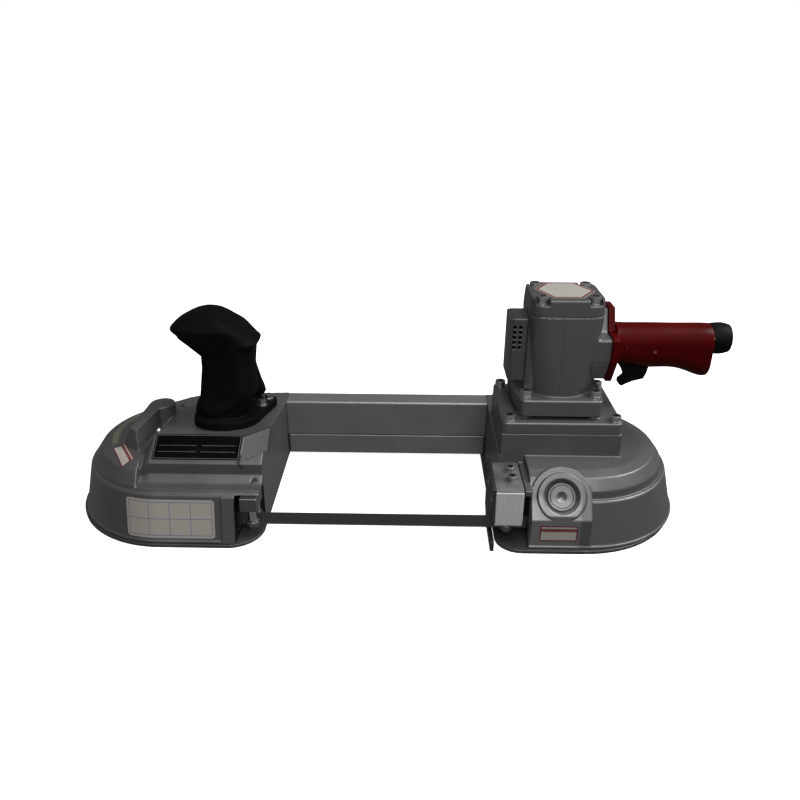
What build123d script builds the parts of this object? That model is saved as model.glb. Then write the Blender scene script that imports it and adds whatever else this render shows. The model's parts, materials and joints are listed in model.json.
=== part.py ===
"""Pneumatic band saw: two wheel housings on a beam, an air motor on a gearbox, and two handles.

X runs from the idler wheel towards the drive wheel, Y to the back and Z up, in millimetres.
The origin is where the drive wheel's axis meets the plane that the saw rests on.
"""
import math
import os

from build123d import *

os.makedirs("parts", exist_ok=True)

BOTTOM = (Align.CENTER, Align.CENTER, Align.MIN)
TOP = (Align.CENTER, Align.CENTER, Align.MAX)

# Wheels and blade
wheel_spacing = 379.0
wheel_radius = 75.7
wheel_width = 15.0
tyre_depth = 3.5
blade_width = 13.0
blade_thickness = 0.65
blade_bottom = 11.7
blade_play = 0.3

# Housings, beam and base covers
housing_height = 62.0
cover_thickness = 3.2
slide_height = 13.7
wall = 4.0
beam_depth = 23.5
beam_rise = 2.2
beam_wall = 3.0
gearbox_height = 24.0
lid_height = 11.0

# Motor and handles
gear_module = 1.0
pinion_teeth = 13
gear_teeth = 39
motor_radius = 31.0
motor_length = 75.0
motor_offset = 6.0
grip_length = 86.0
front_handle_height = 120.0

# Fits
hole_play = 0.1
run_play = 0.05
part_gap = 0.3
tooth_gap = 0.3
slide_drop = 5.3
roof_skin = 2.0

# Places that follow from the sizes above
idler_x = -wheel_spacing
throat_left = idler_x + wheel_radius + 12.3
throat_right = -wheel_radius - 4.3
stop_thick = 3.4
stop_face = throat_right - 6.0 - stop_thick
dome_x = -3.0
foot_radius = wheel_radius + 18.5
housing_lip = foot_radius + 1.7
lip_height = 2.2
idler_cover_edge = 1.8
drive_cover_edge = 2.9
drive_cover_x = dome_x - 5.0
beam_front = wheel_radius - 4.2
beam_back = beam_front + beam_depth
beam_top = housing_height + beam_rise
blade_inner = wheel_radius + blade_play
blade_outer = blade_inner + blade_thickness
blade_top = blade_bottom + blade_width
wheel_bottom = blade_bottom + blade_width / 2 - wheel_width / 2
wheel_top = wheel_bottom + wheel_width
rim_radius = wheel_radius - tyre_depth
box_top = housing_height + gearbox_height
lid_top = box_top + lid_height
gear_centres = gear_module * (pinion_teeth + gear_teeth) / 2
motor_x = -math.sqrt(gear_centres**2 - motor_offset**2)
motor_y = motor_offset
flange_bottom = lid_top + 3.5
flange_top = flange_bottom + 15.5
body_top = flange_top + motor_length
axis_z = flange_top + 47.0


def post(radius, low, high, *places, mode=Mode.ADD):
    """Upright cylinders from one height to another."""
    with Locations(*[(x, y, low) for x, y in places]):
        Cylinder(radius, high - low, align=BOTTOM, mode=mode)


def block(x0, x1, y0, y1, low, high, mode=Mode.ADD):
    """A box between two corners."""
    with Locations(((x0 + x1) / 2, (y0 + y1) / 2, low)):
        Box(x1 - x0, y1 - y0, high - low, align=BOTTOM, mode=mode)


def rod_x(radius, x0, x1, y, z, mode=Mode.ADD):
    """A cylinder along X."""
    with Locations(Location((x0, y, z), (0, 90, 0))):
        Cylinder(radius, x1 - x0, align=BOTTOM, mode=mode)


def rod_y(radius, y0, y1, x, z, mode=Mode.ADD):
    """A cylinder along Y."""
    with Locations(Location((x, y0, z), (-90, 0, 0))):
        Cylinder(radius, y1 - y0, align=BOTTOM, mode=mode)


def prism_x(points, x0, x1, mode=Mode.ADD):
    """A section of (Y, Z) points carried along X."""
    with BuildSketch(Plane(origin=(x0, 0, 0), x_dir=(0, 1, 0), z_dir=(1, 0, 0))) as section:
        with BuildLine():
            Polyline(*points, close=True)
        make_face()
    extrude(section.sketch, amount=x1 - x0, mode=mode)


def prism_z(points, low, high, mode=Mode.ADD):
    """An outline of (X, Y) points carried upwards."""
    with BuildSketch(Plane.XY.offset(low)) as outline:
        with BuildLine():
            Polyline(*points, close=True)
        make_face()
    extrude(outline.sketch, amount=high - low, mode=mode)


def dee(profile, centre, end, mode=Mode.ADD):
    """A housing's shape: its (radius, Z, bend) profile turned half round, then carried to the throat."""
    outward = 1 if end > centre else -1
    front = Plane(origin=(centre, 0, 0), x_dir=(0, -1, 0), z_dir=(-1, 0, 0))
    with BuildSketch(front) as half:
        with BuildLine():
            Polyline(*[(radius, z) for radius, z, bend in profile], close=True)
        make_face()
        for radius, z, bend in profile:
            if bend:
                fillet(half.vertices().sort_by_distance((radius, z, 0))[0], bend)
    revolve(half.sketch, axis=Axis((centre, 0, 0), (0, 0, -outward)), revolution_arc=180, mode=mode)
    with BuildSketch(front) as arch:
        add(half.sketch_local)
        mirror(half.sketch_local, about=Plane.YZ)
    extrude(arch.sketch, amount=centre - end, mode=mode)


def screws(places, radius, length, head_radius, head_height):
    """Socket head screws, each with its head's seat at a place and its shank below."""
    with Locations(*places):
        Cylinder(head_radius, head_height, align=BOTTOM)
    with Locations(*places):
        Cylinder(radius, length, align=TOP)
    with Locations(*[place * Location((0, 0, head_height)) for place in places]):
        Cylinder(head_radius * 0.52, head_height * 0.55, align=TOP, mode=Mode.SUBTRACT)


def holes(places, radius, depth):
    """Round holes below the given places."""
    with Locations(*places):
        Cylinder(radius + hole_play, depth, align=TOP, mode=Mode.SUBTRACT)


def finish(builder, node):
    """Label a sub-part and write it to its own file."""
    builder.part.label = node
    export_step(builder.part, f"parts/{node}.step")


# Base covers, with their screws from below
cover_screw_radius = 2.0
cover_screw_head = 3.8
cover_post_radius = 4.0
cover_post_place = wheel_radius + 10.0
drive_cover_end = throat_right - 4.0


def around(centre, angles):
    """Places for the cover screws round a housing's skirt."""
    return [
        (centre + cover_post_place * math.cos(turn), cover_post_place * math.sin(turn))
        for turn in (math.radians(a) for a in angles)
    ]


idler_cover_places = around(idler_x, (140, 180, 220)) + [
    (idler_x + 20, -cover_post_place),
    (idler_x + 20, cover_post_place),
]
drive_cover_places = around(dome_x, (-40, 0, 40)) + [
    (dome_x - 20, -cover_post_place),
    (dome_x - 20, cover_post_place),
]


def base_cover(centre, end, radius, corner, places):
    """A flat cover with a round end, a rounded front corner at the throat and sunk screw holes."""
    beyond = end + (end - centre)
    with BuildPart() as cover:
        with BuildSketch() as outline:
            with Locations((centre, 0)):
                Circle(radius)
            with Locations(((centre + end) / 2, 0)):
                Rectangle(abs(end - centre), 2 * radius)
            with Locations(((end + beyond) / 2, 0)):
                Rectangle(abs(beyond - end), 2 * radius + 1, mode=Mode.SUBTRACT)
            near = outline.vertices().sort_by_distance((end, -radius, 0))[0]
            fillet(near, corner)
            far = outline.vertices().sort_by_distance((end, radius, 0))[0]
            fillet(far, 1)
        extrude(amount=cover_thickness)
        post(cover_screw_radius + hole_play, -1, cover_thickness + 1, *places, mode=Mode.SUBTRACT)
        post(cover_screw_head + hole_play, -1, 2.2, *places, mode=Mode.SUBTRACT)
    return cover


idler_base_cover = base_cover(idler_x, throat_left, housing_lip + idler_cover_edge, 30, idler_cover_places)
finish(idler_base_cover, "idler_base_cover")

drive_base_cover = base_cover(
    drive_cover_x, drive_cover_end, housing_lip + drive_cover_edge, 22, drive_cover_places,
)
finish(drive_base_cover, "drive_base_cover")

with BuildPart() as base_cover_screws:
    cover_places = idler_cover_places + drive_cover_places
    post(cover_screw_head, 0.3, 2.2, *cover_places)
    post(cover_screw_radius, 2.2, 12.0, *cover_places)
    post(2.0, 0.3, 1.3, *cover_places, mode=Mode.SUBTRACT)
finish(base_cover_screws, "base_cover_screws")

# Idler housing
rim_height = wheel_top + slide_drop + slide_height + part_gap + roof_skin
idler_outer = [
    (0, cover_thickness, 0),
    (housing_lip, cover_thickness, 0),
    (housing_lip, cover_thickness + lip_height, 0.8),
    (foot_radius + 0.4, cover_thickness + lip_height + 0.6, 0),
    (wheel_radius + 10.3, rim_height - 4.0, 0),
    (wheel_radius + 9.5, rim_height - 1.0, 2.0),
    (wheel_radius + 6.5, rim_height + 0.6, 1.0),
    (wheel_radius + 6.1, rim_height + 3.0, 1.0),
    (wheel_radius - 2.2, housing_height - 0.5, 3.0),
    (wheel_radius - 10.2, housing_height + 3.5, 0),
    (0, housing_height + 3.5, 0),
]
idler_inner = [
    (0, cover_thickness, 0),
    (foot_radius - wall, cover_thickness, 0),
    (wheel_radius + 4.0, rim_height - 6.0, 0),
    (wheel_radius - 6.0, rim_height - roof_skin, 0),
    (0, rim_height - roof_skin, 0),
]
stair_left = idler_x - 21.0
stair_edge = -wheel_radius + 4.7
stair_step = -wheel_radius + 12.2
pad_back = -wheel_radius + 36.7
floor_back = beam_front
pad_top = housing_height + 18.2
floor_slope = (pad_top - beam_top) / (floor_back - pad_back)
notch_left = throat_left - 21.0
notch_back = -wheel_radius + 12.7
notch_roof = rim_height - 1.0
roof = rim_height - roof_skin

stair = [
    (stair_edge, rim_height - 4),
    (stair_edge, rim_height + 2.5),
    (stair_step, rim_height + 7.8),
    (stair_step, housing_height + 3.4),
    (pad_back, pad_top),
    (floor_back, beam_top),
    (floor_back, rim_height - 4),
]
stair_end = [
    (stair_edge, rim_height - 4),
    (stair_edge, rim_height + 2.0),
    (stair_step, rim_height + 3.0),
    (stair_step, housing_height - 6),
    (pad_back, housing_height),
    (floor_back - 4, housing_height - 3),
    (floor_back - 4, rim_height - 4),
]


def section_yz(x, points):
    """A closed (Y, Z) outline at one X."""
    with BuildSketch(Plane(origin=(x, 0, 0), x_dir=(0, 1, 0), z_dir=(1, 0, 0))) as section:
        with BuildLine():
            Polyline(*points, close=True)
        make_face()
    return section.sketch


def outline_xy(z, points):
    """A closed (X, Y) outline at one height."""
    with BuildSketch(Plane.XY.offset(z)) as outline:
        with BuildLine():
            Polyline(*points, close=True)
        make_face()
    return outline.sketch


# Front handle's seat on the sloped floor
handle_x = throat_left - 45.0
handle_y = 8.0
handle_seat = Plane(
    origin=(handle_x, handle_y, pad_top - floor_slope * (handle_y - pad_back)),
    x_dir=(1, 0, 0),
    z_dir=(0, floor_slope, 1),
)
handle_flange = 8.0
handle_screw_radius = 3.0
handle_head = 5.0
seat_size = 31.0
lug_x = 28.5
lug_y = 49.0
lug_radius = 9.8
handle_screw_spots = [(28.5, 23.0), (30.5, 46.0)]
floor_screw_places = [handle_seat.location * Location((x, y, handle_flange)) for x, y in handle_screw_spots]

# Tension slide under the roof of the idler housing
slide_half = 18.0
slide_low = wheel_top + slide_drop
slide_high = roof - part_gap
slide_length = 52.0
rail_lip = 5.0
rail_width = 6.0
rail_length = 92.0
tension_z = (slide_low + slide_high) / 2
tension_radius = 4.0
tension_seat = idler_x - wheel_radius + 7.0
rail_places = [
    (idler_x + side, (slide_half + part_gap + rail_width / 2) * hand)
    for side in (-rail_length / 2 + 10, rail_length / 2 - 10)
    for hand in (-1, 1)
]

# Tongues that the left guide hangs from
left_guide_x = throat_left - 7.0
guide_screw_y = stair_step - 4.5
tongue_head = 2.2
beam_screw_y = beam_back - 7.6
beam_screw_z = (housing_height - 10.0, 20.0)

boss_radius = 12.0
rib_base = [
    (idler_x - 28, -44),
    (idler_x - 22.5, 6),
    (idler_x - 22.5, 24),
    (idler_x - 55, 24),
    (idler_x - 49, -30),
]
rib_top = [
    (idler_x - 30, -36),
    (idler_x - 23.5, 6),
    (idler_x - 23.5, 22),
    (idler_x - 36, 22),
    (idler_x - 37, -33),
]

idler_shoulder = [
    (throat_left, beam_front - 20),
    (throat_left, beam_back),
    (throat_left - 26, beam_back - 1.5),
    (throat_left - 94, beam_back - 10.3),
    (throat_left - 103.5, beam_back - 15.6),
    (throat_left - 112, beam_back - 23.4),
    (throat_left - 119, beam_back - 28.5),
    (throat_left - 119, beam_front - 20),
]
drive_shoulder = [
    (throat_right, beam_front - 20),
    (throat_right, beam_back),
    (throat_right + 26, beam_back),
    (throat_right + 50, beam_back - 12),
    (throat_right + 60, beam_front - 20),
]

over_floor = [
    (pad_back, pad_top),
    (floor_back, beam_top),
    (floor_back + 30, beam_top),
    (floor_back + 30, pad_top + 40),
    (pad_back, pad_top + 40),
]
strip = [
    (-housing_lip - 0.5, cover_thickness),
    (-wheel_radius - 10.9, rim_height - 1.5),
    (-wheel_radius - 5.0, rim_height - 1.5),
    (-foot_radius + 3, cover_thickness),
]

with BuildPart() as idler_housing:
    dee(idler_outer, idler_x, throat_left)
    block(
        stair_left, throat_left + 1, -foot_radius, -20,
        rim_height + 2.5, pad_top + 20, mode=Mode.SUBTRACT,
    )
    prism_x(stair, idler_x - 13, throat_left)
    prism_z(idler_shoulder, cover_thickness, beam_top)
    loft([section_yz(idler_x - 25, stair_end), section_yz(idler_x - 13, stair)], ruled=True)
    prism_x(over_floor, idler_x - 7, throat_left + 1, mode=Mode.SUBTRACT)
    loft([outline_xy(housing_height - 4, rib_base), outline_xy(pad_top + 4, rib_top)], ruled=True)
    post(boss_radius, housing_height - 4, pad_top + 4.3, (idler_x - 24.0, 21.5))
    post(4.5, housing_height - 4, housing_height + 6.0, (idler_x - 12, 56))
    with BuildSketch(
        Plane(
            origin=(throat_left - 10, pad_back + 11, pad_top - 3.6),
            x_dir=(18, 26, -4),
            z_dir=(0.70, -0.40, 0.585),
        )
    ) as facet:
        with Locations((8, 8)):
            Rectangle(70, 52)
    extrude(facet.sketch, amount=40, mode=Mode.SUBTRACT)
    block(notch_left, throat_left + 5, -foot_radius - 5, notch_back, 0, notch_roof, mode=Mode.SUBTRACT)
    dee(idler_inner, idler_x, notch_left - wall, mode=Mode.SUBTRACT)
    block(
        notch_left - wall - 1, throat_left - wall, notch_back + wall, beam_front - 2,
        cover_thickness, roof, mode=Mode.SUBTRACT,
    )
    pocket = [
        (stair_step + 6.5, roof - 1),
        (stair_step + 6.5, housing_height - 2),
        (pad_back + 3, pad_top - 6.5),
        (floor_back - 7, housing_height - 5),
        (floor_back - 7, roof - 1),
    ]
    shallow = [
        (pad_back + 30, roof - 1),
        (pad_back + 30, pad_top - 12.0),
        (floor_back - 7, housing_height - 5),
        (floor_back - 7, roof - 1),
    ]
    prism_x(pocket, idler_x + slide_length / 2 + 22, throat_left - 28, mode=Mode.SUBTRACT)
    prism_x(shallow, throat_left - 28.5, throat_left - wall, mode=Mode.SUBTRACT)
    block(
        notch_left - wall - 1, notch_left + 1, -blade_outer - 6, -wheel_radius + 6,
        6, 30, mode=Mode.SUBTRACT,
    )
    block(
        notch_left - wall - 1, throat_left + 1, beam_front + beam_wall, beam_back - beam_wall - 2,
        cover_thickness, 30, mode=Mode.SUBTRACT,
    )
    prism_x(strip, notch_left - 12, notch_left)
    post(cover_post_radius, cover_thickness, 18, *idler_cover_places)
    post(cover_screw_radius + hole_play, 0, 14, *idler_cover_places, mode=Mode.SUBTRACT)
    rod_x(10.5, tension_seat - 13, tension_seat + 9, 0, tension_z)
    rod_x(tension_radius + run_play, tension_seat - 40, tension_seat + 20, 0, tension_z, mode=Mode.SUBTRACT)
    rod_x(7.6, tension_seat - 40, tension_seat, 0, tension_z, mode=Mode.SUBTRACT)
    holes([Location((x, y, roof + 9)) for x, y in rail_places], 2.0, 12)
    holes(floor_screw_places, handle_screw_radius, handle_flange + 12)
    holes([Location((left_guide_x, guide_screw_y, rim_height + 20))], 2.0, 40)
    post(
        tongue_head + 0.2, rim_height + 2.8, rim_height + 20, (left_guide_x, guide_screw_y),
        mode=Mode.SUBTRACT,
    )
    for z in beam_screw_z:
        rod_x(2.5 + hole_play, throat_left - 12, throat_left + 1, beam_screw_y, z, mode=Mode.SUBTRACT)
finish(idler_housing, "idler_housing")

# Drive housing with the gearbox walls and the sloped pad
box_left = throat_right + 2.0
box_right = 30.0
box_front = -38.8
box_back = 50.6
box_wall = 5.0
lid_screw_inset = 6.5
lid_screw_radius = 3.0
lid_screw_spots = [
    (x, y)
    for x in (box_left + lid_screw_inset, box_right - lid_screw_inset)
    for y in (box_front + lid_screw_inset, box_back - lid_screw_inset)
]
drive_rim = housing_height - 17.0
drive_outer = [
    (0, cover_thickness, 0),
    (housing_lip, cover_thickness, 0),
    (housing_lip, cover_thickness + lip_height, 0.8),
    (foot_radius + 0.2, cover_thickness + lip_height + 0.6, 0),
    (wheel_radius + 10.4, drive_rim - 6.0, 0),
    (wheel_radius + 9.3, drive_rim - 1.4, 1.2),
    (wheel_radius + 7.5, drive_rim + 0.2, 0.9),
    (wheel_radius + 4.8, drive_rim - 0.6, 0.5),
    (wheel_radius + 4.2, drive_rim + 7.0, 1.0),
    (wheel_radius - 3.2, housing_height - 0.5, 2.0),
    (wheel_radius - 14.0, housing_height + 2.0, 0),
    (0, housing_height + 2.0, 0),
]
channel_radius = wheel_radius + 5.5
channel_top = wheel_top + 2.8
channel = [
    (0, cover_thickness, 0),
    (channel_radius, cover_thickness, 0),
    (channel_radius, channel_top, 0),
    (0, channel_top, 0),
]
dome_pocket = wheel_radius - 18.0
hub_radius = 27.0
bearing_outer = 21.0
bearing_inner = 10.0
bearing_width = 12.0
lower_bearing = wheel_top + 6.0
upper_bearing = lower_bearing + bearing_width + 4.0
seat_radius = 18.0
drive_notch_right = throat_right + 24.0
drive_notch_back = box_front

pad_slope = 56.0
pad_x = -28.8
pad_front = -foot_radius - 0.8
pad_foot = housing_height - 30.5
pad_drop = 20.6
pad_radius = 26.3
disc_radius = 20.9
disc_height = 2.4
well_radius = 15.7
well_depth = 4.0
plug_radius = 12.2
plug_sink = 1.8
pad_cos = math.cos(math.radians(pad_slope))
pad_sin = math.sin(math.radians(pad_slope))
pad_plane = Plane(
    origin=(pad_x, pad_front + pad_drop * pad_cos, pad_foot + pad_drop * pad_sin),
    x_dir=(1, 0, 0),
    z_dir=(0, -pad_sin, pad_cos),
)
well_floor = pad_plane.offset(disc_height - well_depth)

# Ledge that the right guide block is clamped to
ledge_low = channel_top + 1.5
ledge_top = ledge_low + 10.0
guide_screw_x = throat_right + 9.5
ledge_reach = 22.0
clamp_screw_y = drive_notch_back - 15.5
lock_screw_y = drive_notch_back - 31.1
guide_end = drive_notch_right - 6.0
guide_screw_radius = 2.5
shelf_gap = 1.0

with BuildPart() as drive_housing:
    dee(drive_outer, dome_x, throat_right)
    prism_z(drive_shoulder, cover_thickness, beam_top)
    with BuildSketch(pad_plane) as pad:
        Circle(pad_radius)
        with Locations((0, -pad_drop / 2)):
            Rectangle(2 * pad_radius, pad_drop)
    extrude(pad.sketch, amount=-20)
    with BuildSketch(pad_plane) as disc:
        Circle(disc_radius)
    extrude(disc.sketch, amount=disc_height)
    block(pad_x - pad_radius, pad_x + pad_radius, pad_front - 10, pad_front, 0, box_top, mode=Mode.SUBTRACT)
    block(pad_x - pad_radius, pad_x + pad_radius, pad_front, -wheel_radius, cover_thickness, pad_foot)
    block(
        pad_x - pad_radius, pad_x + pad_radius, -housing_lip, -wheel_radius,
        cover_thickness, cover_thickness + lip_height,
    )
    block(box_left, box_right, box_front, box_back, housing_height - 6, box_top)
    block(
        throat_right - 5, drive_notch_right, -foot_radius - 5, drive_notch_back,
        0, box_top + 5, mode=Mode.SUBTRACT,
    )
    dee(channel, dome_x, throat_right + beam_wall, mode=Mode.SUBTRACT)
    block(
        throat_right, guide_end, drive_notch_back - ledge_reach, drive_notch_back + 1,
        ledge_low, ledge_top,
    )
    holes([Location((guide_screw_x, clamp_screw_y, ledge_top))], guide_screw_radius, 20)
    block(
        guide_end + shelf_gap, drive_notch_right + 1, -wheel_radius - 13.0, drive_notch_back + 1,
        housing_height - 10.5, housing_height - 5,
    )
    with BuildSketch(Plane.XY.offset(channel_top - 1)) as dome_room:
        with Locations((dome_x, 0)):
            Circle(dome_pocket)
        with Locations((0, 0)):
            Circle(hub_radius, mode=Mode.SUBTRACT)
        with Locations((throat_right - 20, 0)):
            Rectangle(60, 4 * dome_pocket, mode=Mode.SUBTRACT)
    extrude(dome_room.sketch, amount=housing_height - 4 - channel_top + 1, mode=Mode.SUBTRACT)
    block(
        box_left + box_wall, box_right - box_wall, box_front + box_wall, box_back - box_wall,
        housing_height, box_top + 1, mode=Mode.SUBTRACT,
    )
    post(lid_screw_inset, housing_height, box_top, *lid_screw_spots)
    holes([Location((x, y, box_top)) for x, y in lid_screw_spots], lid_screw_radius, 16)
    post(hub_radius, channel_top, housing_height, (0, 0))
    post(
        bearing_outer + run_play, channel_top - 1, lower_bearing + bearing_width, (0, 0),
        mode=Mode.SUBTRACT,
    )
    post(seat_radius, channel_top - 1, housing_height + 3, (0, 0), mode=Mode.SUBTRACT)
    post(bearing_outer + run_play, upper_bearing, housing_height + 3, (0, 0), mode=Mode.SUBTRACT)
    block(
        throat_right - 1, throat_right + 9, beam_front + beam_wall, beam_back - beam_wall - 2,
        cover_thickness, 30, mode=Mode.SUBTRACT,
    )
    with Locations(pad_plane.location * Location((0, 0, disc_height))):
        Cone(plug_radius + 0.5, well_radius, well_depth, align=TOP, mode=Mode.SUBTRACT)
    with BuildSketch(well_floor) as plug_hole:
        Circle(3.0 + hole_play)
    extrude(plug_hole.sketch, amount=-8, mode=Mode.SUBTRACT)
    post(cover_post_radius, cover_thickness, 18, *drive_cover_places)
    post(cover_screw_radius + hole_play, 0, 14, *drive_cover_places, mode=Mode.SUBTRACT)
    for z in beam_screw_z:
        rod_x(2.5 + hole_play, throat_right - 1, throat_right + 12, beam_screw_y, z, mode=Mode.SUBTRACT)
finish(drive_housing, "drive_housing")

with BuildPart() as pad_plug:
    with BuildSketch(well_floor) as plug_disc:
        Circle(plug_radius)
    extrude(plug_disc.sketch, amount=well_depth - plug_sink)
    fillet(pad_plug.edges().sort_by(Axis((0, 0, 0), tuple(pad_plane.z_dir)))[-1], 0.8)
    with BuildSketch(well_floor.offset(well_depth - plug_sink)) as plug_groove:
        Circle(plug_radius - 1.8)
        Circle(plug_radius - 2.5, mode=Mode.SUBTRACT)
    extrude(plug_groove.sketch, amount=-0.5, mode=Mode.SUBTRACT)
    with BuildSketch(well_floor) as plug_stem:
        Circle(3.0)
    extrude(plug_stem.sketch, amount=-7)
    with Locations(pad_plane.location * Location((0, 0, disc_height - plug_sink))):
        Cone(0.8, 4.6, 1.8, align=TOP, mode=Mode.SUBTRACT)
finish(pad_plug, "pad_plug")

# Beam between the housings, in two halves
beam_seam = 25.6
beam_low = 3.5
beam_floor = beam_low + cover_thickness
seam_gap = 0.4
side_gap = 1.2
with BuildPart() as beam:
    block(throat_left, throat_right, beam_front, beam_back, beam_floor, beam_top)
    fillet(beam.edges().filter_by(Axis.X).group_by(Axis.Z)[-1], 2.5)
    block(
        throat_left - 1, throat_right + 1, beam_front + beam_wall, beam_back - beam_wall,
        0, beam_top - wall, mode=Mode.SUBTRACT,
    )
    block(
        throat_left - 1, throat_right + 1, beam_front - 1, beam_front + beam_wall + 1,
        0, beam_seam, mode=Mode.SUBTRACT,
    )
    for x, out in ((throat_left, 1), (throat_right, -1)):
        block(
            min(x, x + out * 8), max(x, x + out * 8), beam_back - 11.5, beam_back - 1,
            beam_seam - 16, beam_top - 2,
        )
        for z in beam_screw_z:
            rod_x(2.5 + hole_play, x - 20, x + 20, beam_screw_y, z, mode=Mode.SUBTRACT)
finish(beam, "beam")

with BuildPart() as beam_cover:
    block(throat_left + side_gap, throat_right - side_gap, beam_front, beam_back, beam_low, beam_floor)
    block(
        throat_left + side_gap, throat_right - side_gap, beam_front, beam_front + beam_wall,
        beam_low, beam_seam - seam_gap,
    )
finish(beam_cover, "beam_cover")

with BuildPart() as beam_screws:
    for x, turn in ((throat_left + 8, 90), (throat_right - 8, -90)):
        screws([Location((x, beam_screw_y, z), (0, turn, 0)) for z in beam_screw_z], 2.5, 18, 4.0, 4.0)
finish(beam_screws, "beam_screws")


# Wheels, each with a bonded tyre
def ring(inner, outer, low, high, x, y):
    """A plain upright ring."""
    with BuildPart() as hoop:
        with BuildSketch(Plane.XY.offset(low)):
            with Locations((x, y)):
                Circle(outer)
                Circle(inner, mode=Mode.SUBTRACT)
        extrude(amount=high - low)
    return hoop


def wheel(x, bore):
    """A wheel with a hub, a thin web with round openings, and a rim."""
    with BuildPart() as disc:
        with BuildSketch(Plane.XY.offset(wheel_bottom)):
            with Locations((x, 0)):
                Circle(rim_radius)
                Circle(bore, mode=Mode.SUBTRACT)
        extrude(amount=wheel_width)
        for low, high in ((wheel_bottom, wheel_bottom + 4.5), (wheel_top - 4.5, wheel_top)):
            with BuildSketch(Plane.XY.offset(low)):
                with Locations((x, 0)):
                    Circle(rim_radius - 9)
                    Circle(21, mode=Mode.SUBTRACT)
            extrude(amount=high - low, mode=Mode.SUBTRACT)
        with BuildSketch(Plane.XY.offset(wheel_bottom)):
            with Locations((x, 0)):
                with PolarLocations((rim_radius + 12) / 2, 6):
                    Circle(10)
        extrude(amount=wheel_width, mode=Mode.SUBTRACT)
    return disc


shaft_radius = 10.0
key_half = 2.5
with BuildPart() as drive_shaft:
    post(8.0, wheel_bottom - 6.2, wheel_bottom, (0, 0))
    post(shaft_radius, wheel_bottom, housing_height, (0, 0))
    post(13.0, wheel_top + 0.3, lower_bearing, (0, 0))
    post(9.0, housing_height, box_top - 4, (0, 0))
    block(7.0, 12, -key_half, key_half, wheel_bottom + 1, wheel_top - 1, mode=Mode.SUBTRACT)
finish(drive_shaft, "drive_shaft")

drive_wheel = wheel(0, shaft_radius + run_play)
with drive_wheel:
    block(
        0, 12.4, -key_half - run_play, key_half + run_play,
        wheel_bottom - 1, wheel_top + 1, mode=Mode.SUBTRACT,
    )
finish(drive_wheel, "drive_wheel")

with BuildPart() as drive_key:
    block(7.1, 12.3, -key_half + run_play, key_half - run_play, wheel_bottom + 1.1, wheel_top - 1.1)
finish(drive_key, "drive_key")

finish(ring(rim_radius + 0.02, wheel_radius, wheel_bottom, wheel_top, 0, 0), "drive_tyre")

with BuildPart() as wheel_nut:
    with BuildSketch(Plane.XY.offset(wheel_bottom - 5.5)):
        RegularPolygon(13.5, 6)
        Circle(8.0 + run_play, mode=Mode.SUBTRACT)
    extrude(amount=5.4)
finish(wheel_nut, "wheel_nut")

with BuildPart() as drive_bearings:
    for low in (lower_bearing, upper_bearing):
        with BuildSketch(Plane.XY.offset(low)):
            Circle(bearing_outer)
            Circle(bearing_inner + run_play, mode=Mode.SUBTRACT)
        extrude(amount=bearing_width)
finish(drive_bearings, "drive_bearings")

gear_low = housing_height + 3.0
gear_width = 12.0
gear_radius = gear_module * gear_teeth / 2 - tooth_gap / 2
pinion_radius = gear_module * pinion_teeth / 2 - tooth_gap / 2
finish(ring(9.0 + run_play, gear_radius, gear_low, gear_low + gear_width, 0, 0), "drive_gear")

axle_radius = 7.5
idler_bearing_radius = 14.0
idler_wheel = wheel(idler_x, idler_bearing_radius + 0.02)
finish(idler_wheel, "idler_wheel")
finish(ring(rim_radius + 0.02, wheel_radius, wheel_bottom, wheel_top, idler_x, 0), "idler_tyre")

with BuildPart() as idler_bearings:
    for low in (wheel_bottom + 0.3, wheel_bottom + wheel_width / 2 + 0.2):
        with BuildSketch(Plane.XY.offset(low)):
            with Locations((idler_x, 0)):
                Circle(idler_bearing_radius)
                Circle(axle_radius + run_play, mode=Mode.SUBTRACT)
        extrude(amount=7.0)
finish(idler_bearings, "idler_bearings")

with BuildPart() as idler_axle:
    post(axle_radius, wheel_bottom - 4, slide_high - 1, (idler_x, 0))
    post(11.0, wheel_bottom - 4, wheel_bottom - 0.5, (idler_x, 0))
    post(4.0, wheel_bottom - 4, wheel_bottom - 1.5, (idler_x, 0), mode=Mode.SUBTRACT)
    rod_x(tension_radius + 1, idler_x - 9, idler_x + 9, 0, tension_z, mode=Mode.SUBTRACT)
finish(idler_axle, "idler_axle")

# Tension slide: a block on two rails, drawn along X by a screw
with BuildPart() as tension_block:
    block(
        idler_x - slide_length / 2, idler_x + slide_length / 2, -slide_half, slide_half,
        slide_low, slide_high,
    )
    post(axle_radius + 0.02, slide_low - 1, slide_high - 0.9, (idler_x, 0), mode=Mode.SUBTRACT)
    rod_x(tension_radius + run_play, idler_x - 40, idler_x + 40, 0, tension_z, mode=Mode.SUBTRACT)
finish(tension_block, "tension_block")

with BuildPart() as tension_rails:
    for hand in (-1, 1):
        near = slide_half + part_gap
        far = near + rail_width
        inner = slide_half - rail_lip
        lip_top = slide_low - part_gap
        x0 = idler_x - rail_length / 2
        x1 = idler_x + rail_length / 2
        block(x0, x1, min(hand * near, hand * far), max(hand * near, hand * far), lip_top - 2.6, roof)
        block(x0, x1, min(hand * inner, hand * far), max(hand * inner, hand * far), lip_top - 2.6, lip_top)
    holes([Location((x, y, roof + 1)) for x, y in rail_places], 2.0, 40)
finish(tension_rails, "tension_rails")

rail_bottom = slide_low - part_gap - 2.6
with BuildPart() as rail_screws:
    places = [Location((x, y, rail_bottom), (180, 0, 0)) for x, y in rail_places]
    screws(places, 2.0, roof + 6 - rail_bottom, 2.9, 1.6)
finish(rail_screws, "rail_screws")

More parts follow.
